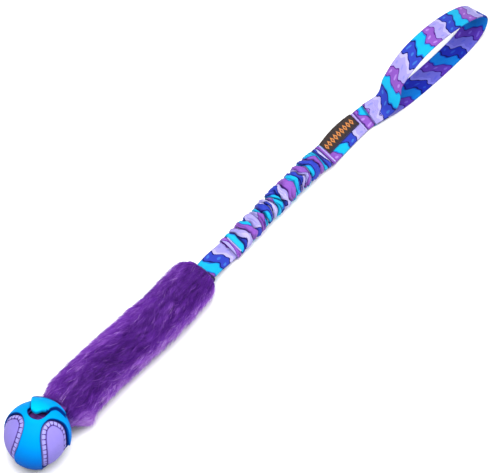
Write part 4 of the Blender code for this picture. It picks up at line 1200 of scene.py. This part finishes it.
    # painted light on the drooping corner of the near lower side
    tone = tone + 0.20 * droop
    tint = np.clip(np.concatenate([np.repeat(tone[:, :-1], 3, 1), tone[:, -1:]], 1), 0.0, 1.0)
    return v, np.array(quads), np.array(tris), tint, x0


def build_fur(count, parts):
    v, quads, tris, tint, x0 = fur_blades(count, 11)
    order = np.argsort(x0)
    m = v.shape[1]
    edges = np.linspace(0, count, parts + 1).astype(int)
    for p in range(parts):
        idx = order[edges[p]:edges[p + 1]]
        n = len(idx)
        off = (np.arange(n) * m)[:, None, None]
        ob = make_mesh("fur_pile_%d" % (p + 1), v[idx].reshape(-1, 3),
                       [(quads[None] + off).reshape(-1, 4), (tris[None] + off).reshape(-1, 3)],
                       M_FUR, attrs={"tint": tint[idx].ravel()}, limp=False)
        if float(x0[idx].min()) < 62.0:
            at(34, 38)
            at(56, 34)
            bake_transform(ob)
        else:
            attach(ob, "sleeve")


build_fur(88000, 10)


# --------------------------------------------------------------------- bungee
def cuff_drop(x):
    """The cover's flat start hugs the webbing that it is sewn to."""
    return 2.0 * (1.0 - smoothstep(308.0, 325.0, np.asarray(x, float)))


def gathered_tube():
    rng = np.random.default_rng(5)
    k = 132
    n = 480
    x0, x1 = 306.0, 464.0
    th = np.arange(k) * 2 * math.pi / k
    # crease lines: where the cloth is pinched, each with its own slant
    gaps = []
    pos = 318.5
    lines = [x0 - 6.0, 312.3, pos]
    while pos < 448.0:
        g = rng.uniform(4.8, 11.4)
        pos += g
        lines.append(pos)
    lines = [c for c in lines if c < 451.5] + [453.5, 459.0, x1 + 6.0]
    m = len(lines)
    slant = rng.normal(0, 2.5, m)
    vee = rng.uniform(0, 1, m) ** 2 * 4.2 * np.where(rng.uniform(0, 1, m) > 0.5, 1.0, -1.0)
    vee_at = math.pi / 2 + rng.normal(0, 0.7, m)
    turn = rng.uniform(0, 2 * math.pi, m)
    two = rng.normal(0, 1.1, m)
    two_at = rng.uniform(0, 2 * math.pi, m)
    three = rng.normal(0, 0.45, m)
    for i in (0, 1, m - 2, m - 1, m - 3):
        slant[i] *= 0.08
        vee[i] = 0.0
        two[i] *= 0.15
        three[i] *= 0.2
    X = np.array(lines)[:, None] + slant[:, None] * np.sin(th[None] + turn[:, None]) \
        + two[:, None] * np.sin(2 * th[None] + two_at[:, None]) + three[:, None] * np.sin(5 * th[None] + turn[:, None]) \
        + vee[:, None] * np.exp(-np.abs((th[None] - vee_at[:, None] + math.pi) % (2 * math.pi) - math.pi) / 0.45)
    for i in range(1, m):
        X[i] = np.maximum(X[i], X[i - 1] + 1.6)
    xs = np.linspace(x0, x1, n)
    R = np.zeros((n, k))
    U = np.zeros((n, k))
    S = np.zeros((n, k))
    W = np.zeros((n, k))
    jump = rng.uniform(5.0, 15.0, m)
    start = 10.0 + np.concatenate([[0], np.cumsum(np.diff(np.array(lines)) * 1.5 + jump[:-1])])
    minor = rng.uniform(0, 2 * math.pi, m)
    has = rng.uniform(0, 1, m) > 0.25
    for j in range(k):
        i = np.clip(np.searchsorted(X[:, j], xs) - 1, 0, m - 2)
        lo, hi = X[i, j], X[i + 1, j]
        gap = hi - lo
        t = (xs - lo) / gap
        puff = (4 * t * (1 - t)).clip(0, 1) ** 0.52
        amp = 3.5 * np.clip(gap / 8.2, 0.34, 1.16)
        pinch = np.exp(-(np.minimum(t, 1 - t) * gap / 0.80) ** 2)
        lean = 0.5 + 0.22 * np.sin(th[j] + minor[i])
        fold = np.exp(-((t - lean) / 0.085) ** 2) * has[i] * smoothstep(-0.1, 0.7, np.sin(th[j] * 1.0 + minor[i] * 2))
        fold2 = np.exp(-((t - 0.28 - 0.1 * np.sin(2 * th[j] + minor[i])) / 0.06) ** 2) \
            * smoothstep(0.1, 0.8, np.sin(th[j] * 2.0 + minor[i] * 3))
        R[:, j] = amp * puff - 1.9 * pinch - 1.15 * fold * np.clip(gap / 8, 0.3, 1.2) - 0.7 * fold2
        U[:, j] = start[i] + (xs - lo) * 1.5
        # painted shade: darker in the pinches between ruffles and along the folds
        S[:, j] = 1.0 * np.exp(-(np.minimum(t, 1 - t) * gap / 0.95) ** 2) + 0.55 * fold + 0.35 * fold2
        W[:, j] = 7.0 * np.sin(th[j] + minor[i] * 1.7) + 4.0 * np.sin(2 * th[j] + minor[i] * 2.9)
    R += 0.16 * np.sin(xs[:, None] * 1.9 + 3.0 * np.sin(th[None] * 3)) + 0.12 * np.sin(xs[:, None] * 0.7 + 11 * th[None])
    fa = np.clip((xs - 316.0) / 11.0, 0, 1)
    fb_ = np.clip((455.0 - xs) / 13.0, 0, 1)
    f = np.minimum(fa, fb_)
    f = (f * f * (3 - 2 * f))[:, None]
    flat_b = np.where(xs < 385.0, 3.5, 4.6)[:, None]
    a = 12.0 + (8.7 - 12.0) * f
    b = flat_b + (8.7 - flat_b) * f
    p = 0.62 + 0.38 * f
    depth = 0.22 + 0.78 * f
    c, s = np.cos(th)[None], np.sin(th)[None]
    cu, sw = np.sign(c) * np.abs(c) ** p, np.sign(s) * np.abs(s) ** p
    nrm = np.sqrt((cu * b) ** 2 + (sw * a) ** 2)
    u = a * cu + R * depth * (cu * b / nrm)
    w = b * sw + R * depth * (sw * a / nrm)
    XS = np.repeat(xs[:, None], k, 1)
    # the ruffles also lean along the toy
    XS = XS + 0.5 * R * f * np.sin(th[None] * 1.0 + xs[:, None] * 0.11)
    tx, ty = heading(xs)
    pts = np.stack([XS - ty[:, None] * u, plan_y(XS) + tx[:, None] * u, tube_zc(XS) - cuff_drop(XS) + w], -1)
    pts[..., 2] = np.maximum(pts[..., 2], 0.05)
    # the inside follows the folds, one cloth thickness in
    low = R * depth
    for shift in (1, 2):
        low = np.minimum(low, np.minimum(np.roll(R * depth, shift, 0), np.roll(R * depth, -shift, 0)))
    low = low[::2] - 0.5
    ci, si = (cu * b / nrm)[::2], (sw * a / nrm)[::2]
    ui, wi = (a * cu)[::2] + low * ci, (b * sw)[::2] + low * si
    XI = XS[::2] + 0.0 * ui
    inner = np.stack([XI - ty[::2, None] * ui, plan_y(XI) + tx[::2, None] * ui, tube_zc(XI) - cuff_drop(XI) + wi], -1)
    inner[..., 2] = np.maximum(inner[..., 2], 0.5)
    verts = np.concatenate([pts.reshape(-1, 3), inner.reshape(-1, 3)])
    away = np.abs((th - math.pi / 2 + math.pi) % (2 * math.pi) - math.pi) * 11.0
    pu = U + W + 1.6 * np.sin(3 * th[None] + U * 0.25)
    pv = np.repeat(away[None], n, 0)
    fill = lambda v: np.concatenate([v.ravel(), np.zeros(len(inner) * k)])
    # the shade attribute carries the painted crease shade
    ob = make_mesh("bungee_gathered_cover", verts, tube_faces(n, len(inner), k), M_GATHER,
                   attrs={"pu": fill(pu), "pv": fill(pv), "shade": fill(np.clip(S, 0, 1))})
    at(318, 12)
    at(451, 11)
    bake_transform(ob)
    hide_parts("bungee_tube")
    return ob


def round_cord():
    n, k = 60, 16
    xs = np.linspace(309.0, 461.0, n)
    th = np.arange(k) * 2 * math.pi / k
    X, T = np.meshgrid(xs, th, indexing='ij')
    end = smoothstep(309.0, 325.0, X)
    pts = oval_points(X, 2.8, 1.0 + 1.8 * end, tube_zc(X) + 1.5 - 2.1 * (1.0 - end), T)
    verts = pts.reshape(-1, 3)
    ob = make_mesh("bungee_rubber_core", verts,
                   [grid_quads(n, k), np.arange(k), ((n - 1) * k + np.arange(k))[::-1]], M_CORD)
    at(318, 12)
    at(451, 11)
    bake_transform(ob)
    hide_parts("bungee_cord")


round_cord()
gathered_tube()


# --------------------------------------------------------- label and stitching
def label_piece():
    n = 70
    xs = np.linspace(466.8, 519.2, n)
    zc = spline_at(((464, z464 - 2.5), (472, 3.7), (486, 3.5), (515, 3.5), (526, 3.6)), xs)
    long_at = (xs - 466.8) / 52.4
    bulge = 1.9 * np.maximum(np.sin(math.pi * long_at), 0.0) ** 0.8
    lift = 0.35 * np.sin(math.pi * long_at) + 0.10 * np.sin(xs * 0.9)
    outer, inner = [], []
    m = 26
    for i in range(m):
        t = i / (m - 1)
        # top flap runs from u = -1.4 to the fold, round it, and back underneath
        if t < 0.42:
            u, v, ang = -1.4 + (11.2 + 1.4) * (t / 0.42), 1.0, 90.0
        elif t < 0.58:
            q = (t - 0.42) / 0.16
            ang = 90.0 - 180.0 * q
            u, v = 11.2 + 1.15 * math.cos(math.radians(ang)), math.sin(math.radians(ang))
        else:
            u, v, ang = 11.2 - (11.2 + 1.4) * ((t - 0.58) / 0.42), -1.0, -90.0
        outer.append((u, v, ang))
    verts = []
    rows = []
    for layer, (h, grow) in enumerate(((2.05, 0.7), (1.42, 0.0))):
        for u, v, ang in outer:
            share = max(0.0, (u + 1.4) / 12.6) ** 1.5
            uu = u + bulge * share + grow * max(0.0, math.cos(math.radians(ang)))
            zz = zc + h * v + (lift * max(0.0, 1 - abs(u - 5) / 8.0) if v > 0 else 0.0)
            zz = np.maximum(zz, 0.5)
            tx, ty = heading(xs)
            rows.append(np.stack([xs - ty * uu, plan_y(xs) + tx * uu, zz], -1))
    k = 2 * m
    rows = rows[:m] + rows[m:][::-1]
    ring = np.stack(rows, 1)
    verts = ring.reshape(-1, 3)
    pv = np.array([-1.0 + (o[0] + 1.4) for o in outer] + [-1.0 + (o[0] + 1.4) for o in outer][::-1])
    pv = np.where(np.arange(k) % k < k, pv, pv)
    pu = np.repeat((xs - 466.8)[:, None], k, 1)
    ob = make_mesh("woven_side_label", verts, [grid_quads(n, k), np.arange(k), ((n - 1) * k + np.arange(k))[::-1]],
                   M_LABEL, attrs={"pu": pu.ravel(), "pv": np.repeat(pv[None], n, 0).ravel()})
    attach(ob, "bungee_upper")
    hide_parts("label")
    return ob


label_piece()


def on_strap(x, u, z):
    x, u, z = np.broadcast_arrays(np.asarray(x, float), np.asarray(u, float), np.asarray(z, float))
    tx, ty = heading(x)
    return np.stack([x - ty * u, plan_y(x) + tx * u, z], -1)


def bar(name, x, half, z, mat, body, node, wide=0.55, pitch=0.42, slope=0.0, rad=0.24,
        faces=(1,), gap=0.0, start=None):
    """Satin bar across the webbing: close threads side by side, above and, if faces says so, below."""
    us = np.arange(-half, half + 1e-6, pitch)
    zig = np.where(np.arange(len(us)) % 2 == 0, 0.12, -0.12)
    p0, p1 = [], []
    for sg in faces:
        zz = z + sg * gap
        p0.append(on_strap(x - wide + zig, us, zz + (-wide) * slope))
        p1.append(on_strap(x + wide + zig, us + 0.12, zz + wide * slope))
    ob = capsules(name, np.concatenate(p0), np.concatenate(p1), rad, mat, sides=6)
    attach(ob, body)
    if node:
        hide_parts(node)
    return ob


bar("strap_stop_threads", 5.5, 6.2, 55.3, M_THREAD_PURPLE, "ball", "strap_stop_bartack")
bar("lower_bartack_threads", 312.0, 9.5, float(tube_zc(312.0) - cuff_drop(312.0)), M_THREAD_LILAC, "bungee_lower",
    "lower_bartack", faces=(1, -1), gap=4.5)
bar("upper_bartack_threads", 462.2, 11.2, float(tube_zc(462.2)), M_THREAD_LILAC, "bungee_upper", "upper_bartack",
    faces=(1,), gap=5.6, slope=-0.2)
bar("hem_bartack_threads", 521.2, 11.6, 3.56, M_THREAD_LILAC, "bungee_upper", "hem_bartack", faces=(1, -1), gap=1.15)


def run_stitches(name, pts, rad, mat, body, nodes, stitch=2.1, space=0.7, normal=(0, 0, 1)):
    """Running stitches along polylines given as arrays of points."""
    p0, p1 = [], []
    for line in pts:
        seg = np.linalg.norm(np.diff(line, axis=0), axis=1)
        s = np.concatenate([[0], np.cumsum(seg)])
        at_s = np.arange(0.2, s[-1] - stitch * 0.6, stitch + space)
        for a in at_s:
            b = min(a + stitch, s[-1])
            p0.append([np.interp(a, s, line[:, c]) for c in range(3)])
            p1.append([np.interp(b, s, line[:, c]) for c in range(3)])
    ob = capsules(name, np.array(p0), np.array(p1), rad, mat, sides=6, normal=normal)
    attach(ob, body)
    if nodes:
        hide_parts(*nodes)
    return ob


xs_l = np.linspace(469.0, 517.4, 40)
zl = spline_at(((464, z464 - 2.5), (472, 3.7), (486, 3.5), (515, 3.5), (526, 3.6)), xs_l)
run_stitches("label_stitch_threads",
             [on_strap(xs_l, -0.5, zl + 2.15), on_strap(xs_l, -0.5, np.maximum(zl - 2.15, 0.7))],
             0.22, M_THREAD_NAVY, "bungee_upper", ["label_stitching"])

box_x = (536.6, 545.8)
corner = lambda z: np.array([on_strap(box_x[0], -9.4, z), on_strap(box_x[0], 9.4, z), on_strap(box_x[1], 9.4, z),
                             on_strap(box_x[1], -9.4, z), on_strap(box_x[0], -9.4, z), on_strap(box_x[1], 9.4, z),
                             on_strap(box_x[1], 9.4, z), on_strap(box_x[1], -9.4, z), on_strap(box_x[0], 9.4, z)])
run_stitches("box_stitch_threads", [corner(7.25), corner(1.18)], 0.20, M_THREAD_LILAC, "handle", ["box_stitch"],
             stitch=1.9, space=0.55)

# ------------------------------------------- construction pieces that stay as they are
for node, mat in (("core_webbing", M_PURPLE), ("fur_backing", M_KNIT),
                  ("strap_splice_bartack", M_THREAD_PURPLE), ("webbing_splice_bartack", M_THREAD_PURPLE),
                  ("sleeve_stitch_ball_end", M_THREAD_PURPLE), ("sleeve_stitch_bungee_end", M_THREAD_PURPLE)):
    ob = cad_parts[node]
    ob.data.materials.clear()
    ob.data.materials.append(mat)
